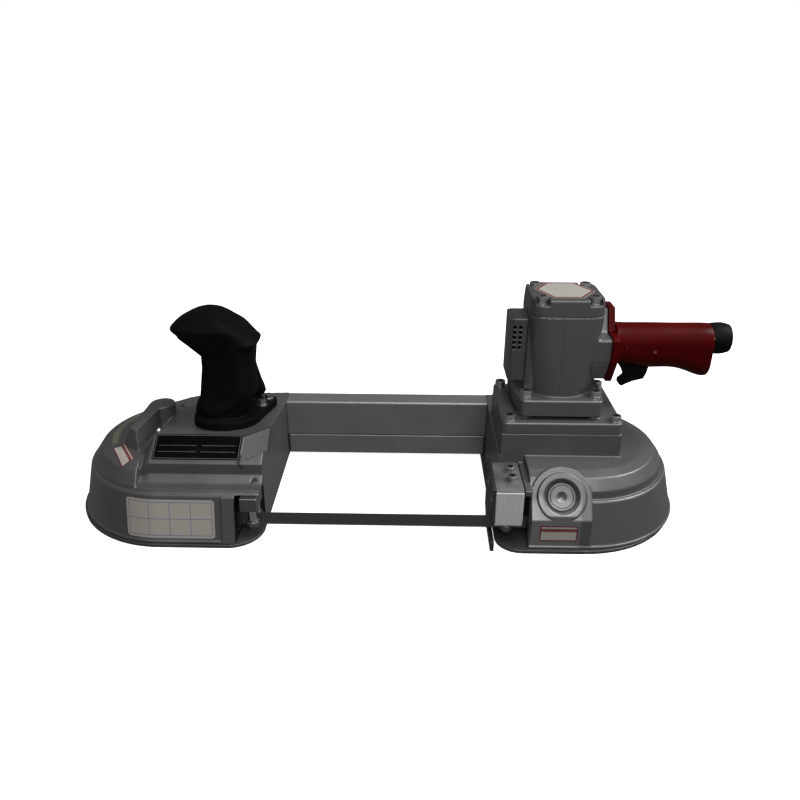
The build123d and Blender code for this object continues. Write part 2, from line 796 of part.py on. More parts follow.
spring_stack = 4.4
with BuildPart() as tension_screw:
    rod_x(tension_radius, tension_seat - spring_stack - 2, idler_x + slide_length / 2 + 8, 0, tension_z)
    rod_x(6.5, tension_seat - spring_stack - 6, tension_seat - spring_stack - 0.1, 0, tension_z)
    rod_x(
        3.2, tension_seat - spring_stack - 7, tension_seat - spring_stack - 2.5, 0, tension_z,
        mode=Mode.SUBTRACT,
    )
finish(tension_screw, "tension_screw")

with BuildPart() as tension_washers:
    for step in range(4):
        x0 = tension_seat - 1.1 * (step + 1) + 0.05
        rod_x(7.3, x0, x0 + 1.0, 0, tension_z)
    rod_x(
        tension_radius + run_play, tension_seat - 6, tension_seat + 1, 0, tension_z, mode=Mode.SUBTRACT,
    )
finish(tension_washers, "tension_washers")

# Blade loop
with BuildPart() as blade:
    with BuildSketch(Plane.XY.offset(blade_bottom)):
        with Locations((idler_x / 2, 0)):
            SlotCenterToCenter(wheel_spacing, 2 * blade_outer)
            SlotCenterToCenter(wheel_spacing, 2 * blade_inner, mode=Mode.SUBTRACT)
    extrude(amount=blade_width)
finish(blade, "blade")

# Blade guides on both sides of the throat
roller_radius = 6.0
pin_radius = 3.5
roller_low = blade_bottom + 3.4
roller_high = blade_bottom + 9.4
collar_radius = 4.2
front_pin_y = -blade_outer - part_gap - roller_radius
rear_pin_y = -blade_inner + part_gap + roller_radius
left_block_low = 33.0
left_pin_top = 39.0
right_guide_x = throat_right + 5.0
right_block_low = 22.5
right_block_top = housing_height - 5.0
right_pin_top = 36.0
guide_step = 1.4
block_front = front_pin_y - 7.0

with BuildPart() as left_guide_block:
    block(throat_left - 16, throat_left - 1.2, block_front, notch_back - 1.3, left_block_low, notch_roof)
    post(
        pin_radius + hole_play, 0, left_pin_top + 0.1,
        (left_guide_x, front_pin_y), (left_guide_x, rear_pin_y), mode=Mode.SUBTRACT,
    )
    holes([Location((left_guide_x, guide_screw_y, notch_roof + 1))], 2.0, 6.5)
finish(left_guide_block, "left_guide_block")

with BuildPart() as left_thrust_pad:
    block(
        throat_left - 15.5, throat_left - 11.5, -blade_outer - 3, -blade_inner + 1.5,
        blade_top + part_gap, left_block_low,
    )
finish(left_thrust_pad, "left_thrust_pad")

with BuildPart() as right_guide_block:
    block(
        stop_face + stop_thick, guide_end, block_front, drive_notch_back,
        right_block_low, right_block_top,
    )
    block(
        stop_face, guide_end + 1, block_front - 1, block_front + guide_step,
        right_block_top - guide_step, right_block_top + 1, mode=Mode.SUBTRACT,
    )
    block(
        stop_face, drive_notch_right, drive_notch_back - ledge_reach - part_gap, drive_notch_back + 1,
        0, ledge_top, mode=Mode.SUBTRACT,
    )
    block(
        stop_face, drive_notch_right, -blade_outer - 2, -blade_inner + 2,
        0, blade_top + part_gap, mode=Mode.SUBTRACT,
    )
    post(
        pin_radius + hole_play, 0, right_pin_top + 0.1,
        (right_guide_x, front_pin_y), (right_guide_x, rear_pin_y), mode=Mode.SUBTRACT,
    )
    holes([Location((guide_screw_x, clamp_screw_y, right_block_top))], guide_screw_radius, 30)
    holes([Location((guide_screw_x, lock_screw_y, right_block_top))], guide_screw_radius, 14.5)
    for y in (clamp_screw_y, front_pin_y):
        rod_x(2.0 + hole_play, stop_face, stop_face + 13, y, 46, mode=Mode.SUBTRACT)
finish(right_guide_block, "right_guide_block")

with BuildPart() as guide_screws:
    screws([Location((guide_screw_x, clamp_screw_y, right_block_top))], guide_screw_radius, 24, 4.2, 5.0)
    screws([Location((guide_screw_x, lock_screw_y, right_block_top))], guide_screw_radius, 14, 4.2, 5.0)
    screws([Location((left_guide_x, guide_screw_y, rim_height + 2.8))], 2.0, 8.5, tongue_head, 1.8)
finish(guide_screws, "guide_screws")


with BuildPart() as roller_pins:
    for x, top in ((left_guide_x, left_pin_top), (right_guide_x, right_pin_top)):
        for y in (front_pin_y, rear_pin_y):
            post(pin_radius, roller_low - 1.5, top, (x, y))
            post(pin_radius + 1.1, roller_low - 1.5, roller_low - 0.2, (x, y))
    for y in (front_pin_y, rear_pin_y):
        post(collar_radius, roller_high + part_gap, left_block_low, (left_guide_x, y))
finish(roller_pins, "roller_pins")

for node, x, y in (
    ("left_front_roller", left_guide_x, front_pin_y),
    ("left_rear_roller", left_guide_x, rear_pin_y),
    ("right_front_roller", right_guide_x, front_pin_y),
    ("right_rear_roller", right_guide_x, rear_pin_y),
):
    finish(ring(pin_radius + run_play, roller_radius, roller_low, roller_high, x, y), node)

stop_sink = 1.9
with BuildPart() as stop_plate:
    outline = [
        (drive_notch_back - 0.5, housing_height),
        (block_front + 2, right_block_top + 1),
        (block_front - 3, 30),
        (-foot_radius - 2.8, 0.6),
        (-wheel_radius + 15, 0.6),
        (drive_notch_back - 0.5, 14),
    ]
    prism_x(outline, stop_face, stop_face + stop_thick)
    block(
        stop_face - 1, stop_face + 6, -foot_radius - 5, -blade_inner + 3,
        blade_bottom - 2.5, blade_top + 2.5, mode=Mode.SUBTRACT,
    )
    for y in (clamp_screw_y, front_pin_y):
        rod_x(2.0 + hole_play, stop_face - 1, stop_face + 6, y, 46, mode=Mode.SUBTRACT)
        rod_x(4.0 + hole_play, stop_face - 1, stop_face + stop_sink, y, 46, mode=Mode.SUBTRACT)
finish(stop_plate, "stop_plate")

with BuildPart() as stop_screws:
    places = [Location((stop_face + stop_sink, y, 46), (0, -90, 0)) for y in (clamp_screw_y, front_pin_y)]
    screws(places, 2.0, 10, 4.0, stop_sink - 0.2)
finish(stop_screws, "stop_screws")

# Nameplate on the sloped pad
pad_rise = pad_top - housing_height - 3.4
pad_run = pad_back - stair_step
plate_plane = Plane(
    origin=(idler_x + 27, (stair_step + pad_back) / 2, pad_top - pad_rise / 2),
    x_dir=(1, 0, 0),
    z_dir=(0, -pad_rise, pad_run),
)
with BuildPart() as nameplate:
    with BuildSketch(plate_plane):
        with Locations((1.5, 1.8)):
            RectangleRounded(78, 24, 1.5)
    extrude(amount=0.6)
finish(nameplate, "nameplate")

# Gearbox lid
motor_spot = (motor_x, motor_y)
motor_screw_x = 31.0
motor_screw_y = 27.0
motor_screw_radius = 3.0
motor_screw_spots = [
    (motor_x + side * motor_screw_x, motor_y + hand * motor_screw_y) for side in (-1, 1) for hand in (-1, 1)
]
rotor_radius = 16.0
rotor_shaft = 5.0
with BuildPart() as gearbox_lid:
    block(box_left, box_right, box_front, box_back, box_top, lid_top)
    fillet(gearbox_lid.edges().filter_by(Axis.Z), 5)
    fillet(gearbox_lid.faces().sort_by(Axis.Z)[-1].edges(), 1.5)
    post(7.5, lid_top - 2, flange_bottom, *motor_screw_spots)
    post(22.0, lid_top - 2, flange_bottom, motor_spot)
    post(9.0, 0, flange_bottom + 1, motor_spot, mode=Mode.SUBTRACT)
    holes([Location((x, y, lid_top + 1)) for x, y in lid_screw_spots], lid_screw_radius, 30)
    holes([Location((x, y, flange_bottom)) for x, y in motor_screw_spots], motor_screw_radius, 12.5)
finish(gearbox_lid, "gearbox_lid")

with BuildPart() as lid_screws:
    screws([Location((x, y, lid_top)) for x, y in lid_screw_spots], lid_screw_radius, 24, 5.0, 6.0)
finish(lid_screws, "lid_screws")

# Air motor
bore_radius = 25.0
motor_floor = flange_bottom + 5.5
plate_height = 8.0
liner_low = motor_floor + plate_height
liner_high = body_top - 21.0
cap_wide = 65.0
cap_deep = 62.0
cap_bend = 12.0
cap_draft = 1.5
cap_height = 14.5
cap_thread = 5.5
cap_seat = 5.2
neck_height = 3.0
cap_top = body_top + cap_height
cap_screw_x = 22.7
cap_screw_y = 21.0
cap_screw_radius = 2.5
cap_screw_head = 5.0
cap_head_height = 7.4
seat_bore = cap_screw_head + 0.5
cap_screw_spots = [
    (motor_x + side * cap_screw_x, motor_y + hand * cap_screw_y) for side in (-1, 1) for hand in (-1, 1)
]
boss_face = motor_x + 41.5
grip_screw_radius = 2.5
grip_screw_spots = [
    (motor_y + 15.0, axis_z + 20.4),
    (motor_y - 10.0, axis_z - 31.0),
    (motor_y + 10.0, axis_z - 31.0),
]
port_radius = 8.0
box_x0 = motor_x - 45.3
vent_columns = (motor_x - 43.4, motor_x - 38.4)
cover_wall = 2.6
exhaust_half = 16.0
exhaust_low = flange_top + 10.0
exhaust_high = body_top - 6.5
exhaust_wall = 3.5
boss_front = motor_y - 24.0
boss = [
    (boss_front, axis_z - 15.5),
    (boss_front, axis_z + 4.0),
    (boss_front + 3.0, axis_z + 5.5),
    (motor_y - 6.5, axis_z + 5.5),
    (motor_y - 3.7, axis_z + 8.0),
    (motor_y + 4.6, axis_z + 25.0),
    (motor_y + 21.0, axis_z + 25.0),
    (motor_y + 21.0, axis_z - 36.0),
    (boss_front + 11.0, axis_z - 36.0),
]


def square(z, wide, deep, bend):
    """A rounded oblong round the motor's axis at one height."""
    with BuildSketch(Plane.XY.offset(z)) as section:
        with Locations(motor_spot):
            RectangleRounded(wide, deep, bend)
    return section.sketch


with BuildPart() as motor_body:
    flange = [
        (motor_x - 36, motor_y - 38.5),
        (motor_x + 36, motor_y - 38.5),
        (motor_x + 40, motor_y - 10),
        (motor_x + 40, motor_y + 38.5),
        (motor_x - 40, motor_y + 38.5),
        (motor_x - 40, motor_y - 10),
    ]
    prism_z(flange, flange_bottom, flange_top)
    fillet(motor_body.edges().filter_by(Axis.Z), 4)
    fillet(motor_body.faces().sort_by(Axis.Z)[-1].edges(), 1.5)
    neck_low = body_top - neck_height
    loft(
        [
            square(flange_top - 1, 2 * motor_radius, 2 * motor_radius, motor_radius - 0.1),
            square(neck_low, cap_wide, cap_deep, cap_bend),
        ],
        ruled=True,
    )
    extrude(square(neck_low, cap_wide, cap_deep, cap_bend), amount=neck_height)
    block(box_x0, motor_x - 20, motor_y - exhaust_half, motor_y + exhaust_half, exhaust_low, exhaust_high)
    block(motor_x - 32.5, motor_x - 25.5, motor_y - 21, motor_y, flange_top - 1, body_top - 6)
    prism_x(boss, motor_x + 16, boss_face)
    post(bore_radius, motor_floor, body_top + 1, motor_spot, mode=Mode.SUBTRACT)
    post(9.0, flange_bottom - 1, motor_floor + 1, motor_spot, mode=Mode.SUBTRACT)
    block(
        box_x0 - 1, motor_x - 29,
        motor_y - exhaust_half + exhaust_wall, motor_y + exhaust_half - exhaust_wall,
        exhaust_low + exhaust_wall, exhaust_high - exhaust_wall, mode=Mode.SUBTRACT,
    )
    rod_x(6.0, motor_x - 32, motor_x - 20, motor_y, axis_z - 20, mode=Mode.SUBTRACT)
    for x in vent_columns:
        for step in range(5):
            rod_y(
                1.6, motor_y - exhaust_half - 1, motor_y - exhaust_half + 5, x,
                flange_top + 41.5 + 4.7 * step, mode=Mode.SUBTRACT,
            )
    rod_x(port_radius, motor_x + 20, boss_face + 1, motor_y, axis_z, mode=Mode.SUBTRACT)
    holes([Location((x, y, flange_top + 1)) for x, y in motor_screw_spots], motor_screw_radius, 30)
    holes([Location((x, y, body_top + 1)) for x, y in cap_screw_spots], cap_screw_radius, cap_thread + 1.5)
    for y, z in grip_screw_spots:
        rod_x(grip_screw_radius + hole_play, boss_face - 13, boss_face + 1, y, z, mode=Mode.SUBTRACT)
finish(motor_body, "motor_body")

with BuildPart() as motor_screws:
    screws([Location((x, y, flange_top)) for x, y in motor_screw_spots], motor_screw_radius, 26, 5.0, 6.0)
finish(motor_screws, "motor_screws")

with BuildPart() as exhaust_cover:
    block(
        box_x0 - cover_wall, box_x0, motor_y - exhaust_half, motor_y + exhaust_half,
        exhaust_low, exhaust_high,
    )
    fillet(exhaust_cover.faces().sort_by(Axis.X)[0].edges(), 2.0)
    block(
        box_x0, box_x0 + 1.5,
        motor_y - exhaust_half + exhaust_wall + 0.1, motor_y + exhaust_half - exhaust_wall - 0.1,
        exhaust_low + exhaust_wall + 0.1, exhaust_high - exhaust_wall - 0.1,
    )
finish(exhaust_cover, "exhaust_cover")


with BuildPart() as motor_cap:
    loft(
        [
            square(body_top, cap_wide, cap_deep, cap_bend),
            square(cap_top, cap_wide - cap_draft, cap_deep - 2 * cap_draft, cap_bend),
        ],
        ruled=True,
    )
    fillet(motor_cap.faces().sort_by(Axis.Z)[-1].edges(), 1.5)
    post(bore_radius - 2, body_top - 1, body_top + 9, motor_spot, mode=Mode.SUBTRACT)
    with BuildSketch(Plane.XY.offset(body_top - 12.8)):
        with Locations(motor_spot):
            Circle(bore_radius - 0.1)
            Circle(bore_radius - 4, mode=Mode.SUBTRACT)
    extrude(amount=14)
    post(seat_bore, cap_top - cap_seat, cap_top + 1, *cap_screw_spots, mode=Mode.SUBTRACT)
    for x, y in cap_screw_spots:
        out = y + math.copysign(30, y - motor_y)
        block(
            x - seat_bore, x + seat_bore, min(y, out), max(y, out),
            cap_top - cap_seat, cap_top + 1, mode=Mode.SUBTRACT,
        )
    holes([Location((x, y, cap_top)) for x, y in cap_screw_spots], cap_screw_radius, 30)
finish(motor_cap, "motor_cap")

with BuildPart() as cap_screws:
    places = [Location((x, y, cap_top - cap_seat)) for x, y in cap_screw_spots]
    screws(places, cap_screw_radius, cap_height - cap_seat + cap_thread, cap_screw_head, cap_head_height)
finish(cap_screws, "cap_screws")

rotor_low = liner_low + 0.4
rotor_high = liner_high - 0.4
vane_half = 1.0
vane_root = 7.0
with BuildPart() as rotor:
    post(rotor_radius, rotor_low, rotor_high, motor_spot)
    with BuildSketch(Plane.XY.offset(rotor_low - 1)) as slots:
        with Locations(motor_spot):
            with PolarLocations((vane_root + rotor_radius + 2) / 2, 5):
                Rectangle(rotor_radius + 2 - vane_root, 2 * vane_half + 2 * hole_play)
    extrude(slots.sketch, amount=rotor_high - rotor_low + 2, mode=Mode.SUBTRACT)
    post(rotor_shaft, gear_low, liner_high + plate_height + 0.5, motor_spot)
    post(pinion_radius, gear_low, gear_low + gear_width, motor_spot)
finish(rotor, "rotor")

with BuildPart() as vanes:
    with BuildSketch(Plane.XY.offset(rotor_low + 0.1)):
        with Locations(motor_spot):
            with PolarLocations((vane_root + 0.2 + rotor_radius) / 2, 5):
                Rectangle(rotor_radius - vane_root - 0.2, 2 * vane_half)
    extrude(amount=rotor_high - rotor_low - 0.2)
finish(vanes, "vanes")

liner_bore = 19.0
liner_shift = 2.5
with BuildPart() as cylinder_liner:
    with BuildSketch(Plane.XY.offset(liner_low)):
        with Locations(motor_spot):
            Circle(bore_radius - run_play)
        with Locations((motor_x - liner_shift, motor_y)):
            Circle(liner_bore, mode=Mode.SUBTRACT)
    extrude(amount=liner_high - liner_low)
    rod_x(5.0, motor_x - 32, motor_x - 10, motor_y, axis_z - 20, mode=Mode.SUBTRACT)
    rod_x(4.0, motor_x + 10, motor_x + 32, motor_y, axis_z, mode=Mode.SUBTRACT)
finish(cylinder_liner, "cylinder_liner")

rotor_bearing = 13.0
with BuildPart() as end_plates:
    for low in (motor_floor, liner_high):
        with BuildSketch(Plane.XY.offset(low)):
            with Locations(motor_spot):
                Circle(bore_radius - run_play)
                Circle(rotor_bearing + run_play, mode=Mode.SUBTRACT)
        extrude(amount=plate_height)
finish(end_plates, "end_plates")

with BuildPart() as rotor_bearings:
    for low in (motor_floor, liner_high):
        with BuildSketch(Plane.XY.offset(low)):
            with Locations(motor_spot):
                Circle(rotor_bearing)
                Circle(rotor_shaft + run_play, mode=Mode.SUBTRACT)
        extrude(amount=plate_height)
finish(rotor_bearings, "rotor_bearings")


# Trigger handle
def section_x(x, width, low, high, bend):
    """A rounded section of the grip at one X."""
    plane = Plane(origin=(x, motor_y, (low + high) / 2), x_dir=(0, 1, 0), z_dir=(1, 0, 0))
    with BuildSketch(plane) as section:
        RectangleRounded(width, high - low, bend)
    return section.sketch


handle_plate = 6.0
grip_head = 3.0
grip_start = boss_face + handle_plate
grip_end = grip_start + grip_length
grip_round = 16.4
plate_lip = 2.0
grip_sections = [
    (0.0, 36, -25.0, 13.6),
    (0.25, 34, -26.2, 13.4),
    (0.5, 34, -27.2, 13.4),
    (0.72, 34, -28.6, 13.4),
    (0.9, 35, -34.0, 13.4),
    (1.0, 34, -35.0, 13.2),
]
bush_radius = 11.5
bush_start = grip_end - 22.0
bush_end = grip_end + 17.0
bush_rim = 2.0
bush_lip = bush_radius + 0.8
collar_round = 1.5
trigger_half = 5.0
pivot_x = grip_start + 33.4
pivot_z = axis_z - 14.2
stem_x = pivot_x - 18.5
slot_top = axis_z - 9.5

with BuildPart() as trigger_handle:
    with BuildSketch(Plane(origin=(boss_face, 0, 0), x_dir=(0, 1, 0), z_dir=(1, 0, 0))) as mount:
        with BuildLine():
            Polyline(*boss, close=True)
        make_face()
        offset(amount=plate_lip)
    extrude(mount.sketch, amount=handle_plate)
    loft([
        section_x(grip_start + share * grip_length, width, axis_z + low, axis_z + top, grip_round)
        for share, width, low, top in grip_sections
    ])
    block(
        grip_start + 1.5, pivot_x + 8.0, motor_y - trigger_half - 0.5, motor_y + trigger_half + 0.5,
        axis_z - 60, slot_top, mode=Mode.SUBTRACT,
    )
    rod_x(port_radius, boss_face - 1, grip_end + 1, motor_y, axis_z, mode=Mode.SUBTRACT)
    rod_x(bush_radius + run_play, bush_start, grip_end + 1, motor_y, axis_z, mode=Mode.SUBTRACT)
    post(2.5 + run_play, slot_top - 1, axis_z, (stem_x, motor_y), mode=Mode.SUBTRACT)
    rod_y(2.5 + run_play, motor_y - 30, motor_y + 30, pivot_x, pivot_z, mode=Mode.SUBTRACT)
    for y, z in grip_screw_spots:
        rod_x(grip_screw_radius + hole_play, boss_face - 1, boss_face + 8, y, z, mode=Mode.SUBTRACT)
        rod_x(4.6, boss_face + handle_plate - grip_head, boss_face + 20, y, z, mode=Mode.SUBTRACT)
finish(trigger_handle, "trigger_handle")

with BuildPart() as grip_screws:
    head_seat = boss_face + handle_plate - grip_head
    places = [Location((head_seat, y, z), (0, 90, 0)) for y, z in grip_screw_spots]
    screws(places, grip_screw_radius, 14, 4.2, grip_head - 0.2)
finish(grip_screws, "grip_screws")

inlet_radius = 8.5
with BuildPart() as inlet_bush:
    rod_x(bush_radius, bush_start, bush_end, motor_y, axis_z)
    rod_x(bush_lip, bush_end - bush_rim, bush_end, motor_y, axis_z)
    rod_x(inlet_radius, bush_start - 1, bush_end + 1, motor_y, axis_z, mode=Mode.SUBTRACT)
finish(inlet_bush, "inlet_bush")

with BuildPart() as inlet_collar:
    rod_x(bush_lip + part_gap + 1.8, grip_end + 0.4, bush_end, motor_y, axis_z)
    fillet(inlet_collar.edges().filter_by(GeomType.CIRCLE), collar_round)
    rod_x(bush_radius + run_play, grip_end, bush_end, motor_y, axis_z, mode=Mode.SUBTRACT)
    rod_x(
        bush_lip + part_gap, bush_end - bush_rim - part_gap, bush_end + 1, motor_y, axis_z,
        mode=Mode.SUBTRACT,
    )
finish(inlet_collar, "inlet_collar")

trigger_points = [
    (5.0, -5.0),
    (5.0, 3.0),
    (-1.0, 3.9),
    (-6.0, 3.3),
    (-27.5, -1.0),
    (-28.5, -7.5),
    (-21.5, -17.0),
    (-18.9, -22.6),
    (-23.5, -27.0),
    (-23.7, -30.5),
    (-20.5, -32.3),
    (-17.0, -30.0),
    (-11.0, -27.3),
    (-1.5, -24.6),
    (0.6, -19.0),
    (2.4, -9.0),
]
with BuildPart() as trigger:
    with BuildSketch(Plane(origin=(pivot_x, motor_y, pivot_z), x_dir=(1, 0, 0), z_dir=(0, -1, 0))) as side:
        with BuildLine():
            Polyline(*trigger_points, close=True)
        make_face()
        fillet(side.vertices(), 1.5)
    extrude(side.sketch, amount=trigger_half, both=True)
    rod_y(2.5 + run_play, motor_y - 30, motor_y + 30, pivot_x, pivot_z, mode=Mode.SUBTRACT)
    fillet(trigger.faces().sort_by(Axis.Y)[0].outer_wire().edges(), 0.8)
    fillet(trigger.faces().sort_by(Axis.Y)[-1].outer_wire().edges(), 0.8)
finish(trigger, "trigger")

with BuildPart() as trigger_pin:
    rod_y(2.5, motor_y - 16.5, motor_y + 16.5, pivot_x, pivot_z)
finish(trigger_pin, "trigger_pin")

stem_low = pivot_z + 1.7
valve_low = axis_z - port_radius + 2.6
with BuildPart() as valve_stem:
    post(2.5, stem_low, valve_low + 1, (stem_x, motor_y))
    post(4.5, valve_low, valve_low + 3, (stem_x, motor_y))
finish(valve_stem, "valve_stem")

finish(ring(2.2, 3.0, valve_low + 3.0, axis_z + 7.0, stem_x, motor_y), "valve_spring")

# Front handle, a leaning grip with a hooded top
hood_low = housing_height + 3.0
hood = [
    (0.09, 0.5, 30.5, 29.0),
    (0.17, 3.5, 32.5, 27.0),
    (0.26, 5.5, 30.5, 25.0),
    (0.535, 5.3, 23.8, 20.5),
    (0.66, 6.2, 24.0, 21.0),
    (0.74, 4.1, 31.0, 24.5),
    (0.815, -4.6, 33.0, 26.5),
    (0.86, -9.5, 33.0, 26.5),
    (0.885, -11.0, 31.0, 25.5),
    (0.925, -11.5, 24.0, 22.0),
    (0.965, -10.6, 15.5, 15.5),
    (1.0, -9.5, 6.0, 6.5),
]


def section_z(fraction, shift, half_x, half_y):
    """An oval section of the front handle at one height."""
    with BuildSketch(Plane.XY.offset(hood_low + fraction * front_handle_height)) as section:
        with Locations((handle_x + shift, handle_y + 4)):
            Ellipse(half_x, half_y)
    return section.sketch


with BuildPart() as front_handle:
    loft([section_z(*part) for part in hood], ruled=True)
    with BuildSketch(handle_seat) as seat:
        with Locations((0.5, -3.0)):
            Circle(seat_size)
        with Locations((lug_x, lug_y)):
            Circle(lug_radius)
        make_hull()
    extrude(seat.sketch, amount=handle_flange)
    with BuildSketch(handle_seat) as under:
        Circle(80)
    extrude(under.sketch, amount=-40, mode=Mode.SUBTRACT)
    holes(floor_screw_places, handle_screw_radius, 20)
    with Locations(*floor_screw_places):
        Cylinder(handle_head + 0.4, 14, align=BOTTOM, mode=Mode.SUBTRACT)
finish(front_handle, "front_handle")

with BuildPart() as front_handle_screws:
    screws(floor_screw_places, handle_screw_radius, 16, handle_head, 5.0)
finish(front_handle_screws, "front_handle_screws")
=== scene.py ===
"""Looks of a pneumatic band saw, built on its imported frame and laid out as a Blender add-on."""

import json
import math

import bmesh
import bpy
from bpy.props import FloatProperty, FloatVectorProperty, IntProperty, PointerProperty
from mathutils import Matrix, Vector
from mathutils.bvhtree import BVHTree
from mathutils.geometry import convex_hull_2d


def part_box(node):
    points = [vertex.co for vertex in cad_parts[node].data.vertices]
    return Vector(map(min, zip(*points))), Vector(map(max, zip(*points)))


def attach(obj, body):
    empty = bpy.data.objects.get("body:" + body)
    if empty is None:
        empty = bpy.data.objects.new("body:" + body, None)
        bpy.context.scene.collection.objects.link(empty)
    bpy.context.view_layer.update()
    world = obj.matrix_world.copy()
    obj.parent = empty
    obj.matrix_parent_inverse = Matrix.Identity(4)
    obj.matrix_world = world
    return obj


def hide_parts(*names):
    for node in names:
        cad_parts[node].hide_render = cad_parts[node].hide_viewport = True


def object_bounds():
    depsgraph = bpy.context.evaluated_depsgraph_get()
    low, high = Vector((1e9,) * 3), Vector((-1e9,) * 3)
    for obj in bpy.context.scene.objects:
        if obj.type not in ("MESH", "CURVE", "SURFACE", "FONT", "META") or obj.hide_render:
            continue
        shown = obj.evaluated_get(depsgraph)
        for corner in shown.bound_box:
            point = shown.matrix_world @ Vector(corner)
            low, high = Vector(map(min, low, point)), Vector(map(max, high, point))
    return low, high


bl_info = {
    "name": "Pneumatic band saw",
    "version": (1, 0, 0),
    "blender": (4, 5, 0),
    "location": "View3D > Sidebar > Band saw",
    "description": "Builds the looks of a pneumatic band saw on its packed frame",
    "category": "Add Mesh",
}

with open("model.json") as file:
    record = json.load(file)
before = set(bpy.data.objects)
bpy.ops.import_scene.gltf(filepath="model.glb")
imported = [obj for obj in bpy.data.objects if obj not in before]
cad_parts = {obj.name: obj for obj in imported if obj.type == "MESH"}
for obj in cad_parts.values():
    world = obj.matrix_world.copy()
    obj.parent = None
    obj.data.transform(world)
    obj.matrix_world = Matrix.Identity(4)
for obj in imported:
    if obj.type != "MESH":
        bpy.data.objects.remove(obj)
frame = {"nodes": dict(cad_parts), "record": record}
cad_box = [list(corner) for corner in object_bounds()]
body_of = {node: body for body, nodes in frame["record"]["behaviour"]["bodies"].items() for node in nodes}
slot_of = {part["node"]: part["material_slot"] for part in frame["record"]["subparts"]}

MM = 0.001


def mm(*values):
    """A point or a length given in millimetres."""
    return Vector(values) * MM


def middle(node):
    """The centre of a node's box."""
    low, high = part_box(node)
    return (low + high) / 2


# Directions, and a height above everything from which lines are dropped on a skin
UP = Vector((0.0, 0.0, 1.0))
DOWN = Vector((0.0, 0.0, -1.0))
BACK = Vector((0.0, 1.0, 0.0))
ABOVE = 0.5

# Places read from the frame
IDLER_X = middle("idler_wheel").x
BLADE_LOW, BLADE_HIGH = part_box("blade")
GUIDE_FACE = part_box("right_guide_block")[0].y
PLATE_MIDDLE = middle("nameplate")
PIN_EDGE = middle("beam").x
PIN_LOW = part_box("left_front_roller")[1].z

# Stage: each lamp has a place, a size and a power
FLOOR_FADE = (1.3, 2.6)
FLOOR_HALF = 3.0
FLOOR_GLOW = (0.35, 0.9)
SENSOR_WIDTH = 36.0
LAMP_AIM = Vector((-0.17, 0.0, 0.06))
LAMPS = (
    ("overhead", (0.0, -0.48, 1.60), 0.7, 13.0),
    ("front", (-0.04, -1.25, 1.06), 0.7, 13.5),
    ("side", (0.96, 0.0, 1.21), 0.7, 29.0),
)

# Castings, each with its share of the most triangles
CASTINGS = (
    ("idler_housing", 1.0), ("drive_housing", 1.0), ("motor_body", 0.75), ("beam", 0.5),
    ("gearbox_lid", 0.3), ("motor_cap", 0.3), ("beam_cover", 0.2), ("exhaust_cover", 0.15),
)

# Other skins: spacing of points, rounds of easing and most triangles; the first two take the castings' spacing
PLUG_SKIN = (2, 30000)
COVER_SKIN = (2, 60000)
GUIDE_SKIN = (0.0004, 2, 40000)
PIN_SKIN = (0.0003, 1, 20000)
GRIP_SKIN = (0.0007, 3, 150000)
HANDLE_SKIN = (0.0006, 5, 120000)
TRIGGER_SKIN = (0.0004, 2, 20000)
TRIGGER_PIN_SKIN = (0.0003, 1, 8000)

# Meshes: how far an edge eases in one round, how near points are joined, and angles in degrees that stay sharp
EASE_FACTOR = 0.5
NODE_JOIN = 1e-6
MESH_JOIN = 1e-7
SHARP = 40
SCREW_SHARP = 35

# Turned pieces: the corners of their cuts, as a share of the length and a radius
ROLLER = ((0.03, 0.0057), (0.09, 0.0060), (0.91, 0.0060), (0.97, 0.0057), (0.97, 0.0039), (0.03, 0.0039))
COLLAR = (
    (0.0, 0.0132), (0.05, 0.0138), (0.30, 0.0142), (0.45, 0.0144), (0.60, 0.0143), (0.72, 0.0140), (0.94, 0.0130),
    (1.0, 0.0127), (1.0, 0.0126), (0.86, 0.0126), (0.86, 0.01175), (0.0, 0.01175),
)

# Marks on the red handle: X, Z, radius and colour; the near-black last one is painted shade for a small hole
RED_MARKS = (
    (0.0567, 0.1551, 0.0014, (0.12, 0.055, 0.050)), (0.0313, 0.1596, 0.0008, (0.08, 0.020, 0.020)),
    (0.1082, 0.1679, 0.0009, (0.16, 0.10, 0.09)), (0.0511, 0.1512, 0.0009, (0.004, 0.003, 0.003)),
)

# Blade: thickness, steps round each wheel, a tooth's tip, slope and root as shares, and where a painted reflection
# lies on it
BLADE_THICKNESS = 0.00065
BLADE_STEPS = 48
TIP_AT = 0.1667
TIP_SLOPE = 3.0
ROOT_SHIFT = -0.3
BLADE_GLINT_X = -0.166
BLADE_GLINT_HALF = 0.030

# Slopes of the idler housing's floor and of the nameplate's pad
FLOOR_WAY = Vector((0.0, 0.1433, 0.98968))
FLOOR_RUN = Vector((0.0, 0.98968, -0.1433))
PAD_WAY = Vector((0.0, -0.517, 0.856))
PAD_RUN = Vector((0.0, 0.856, 0.517))

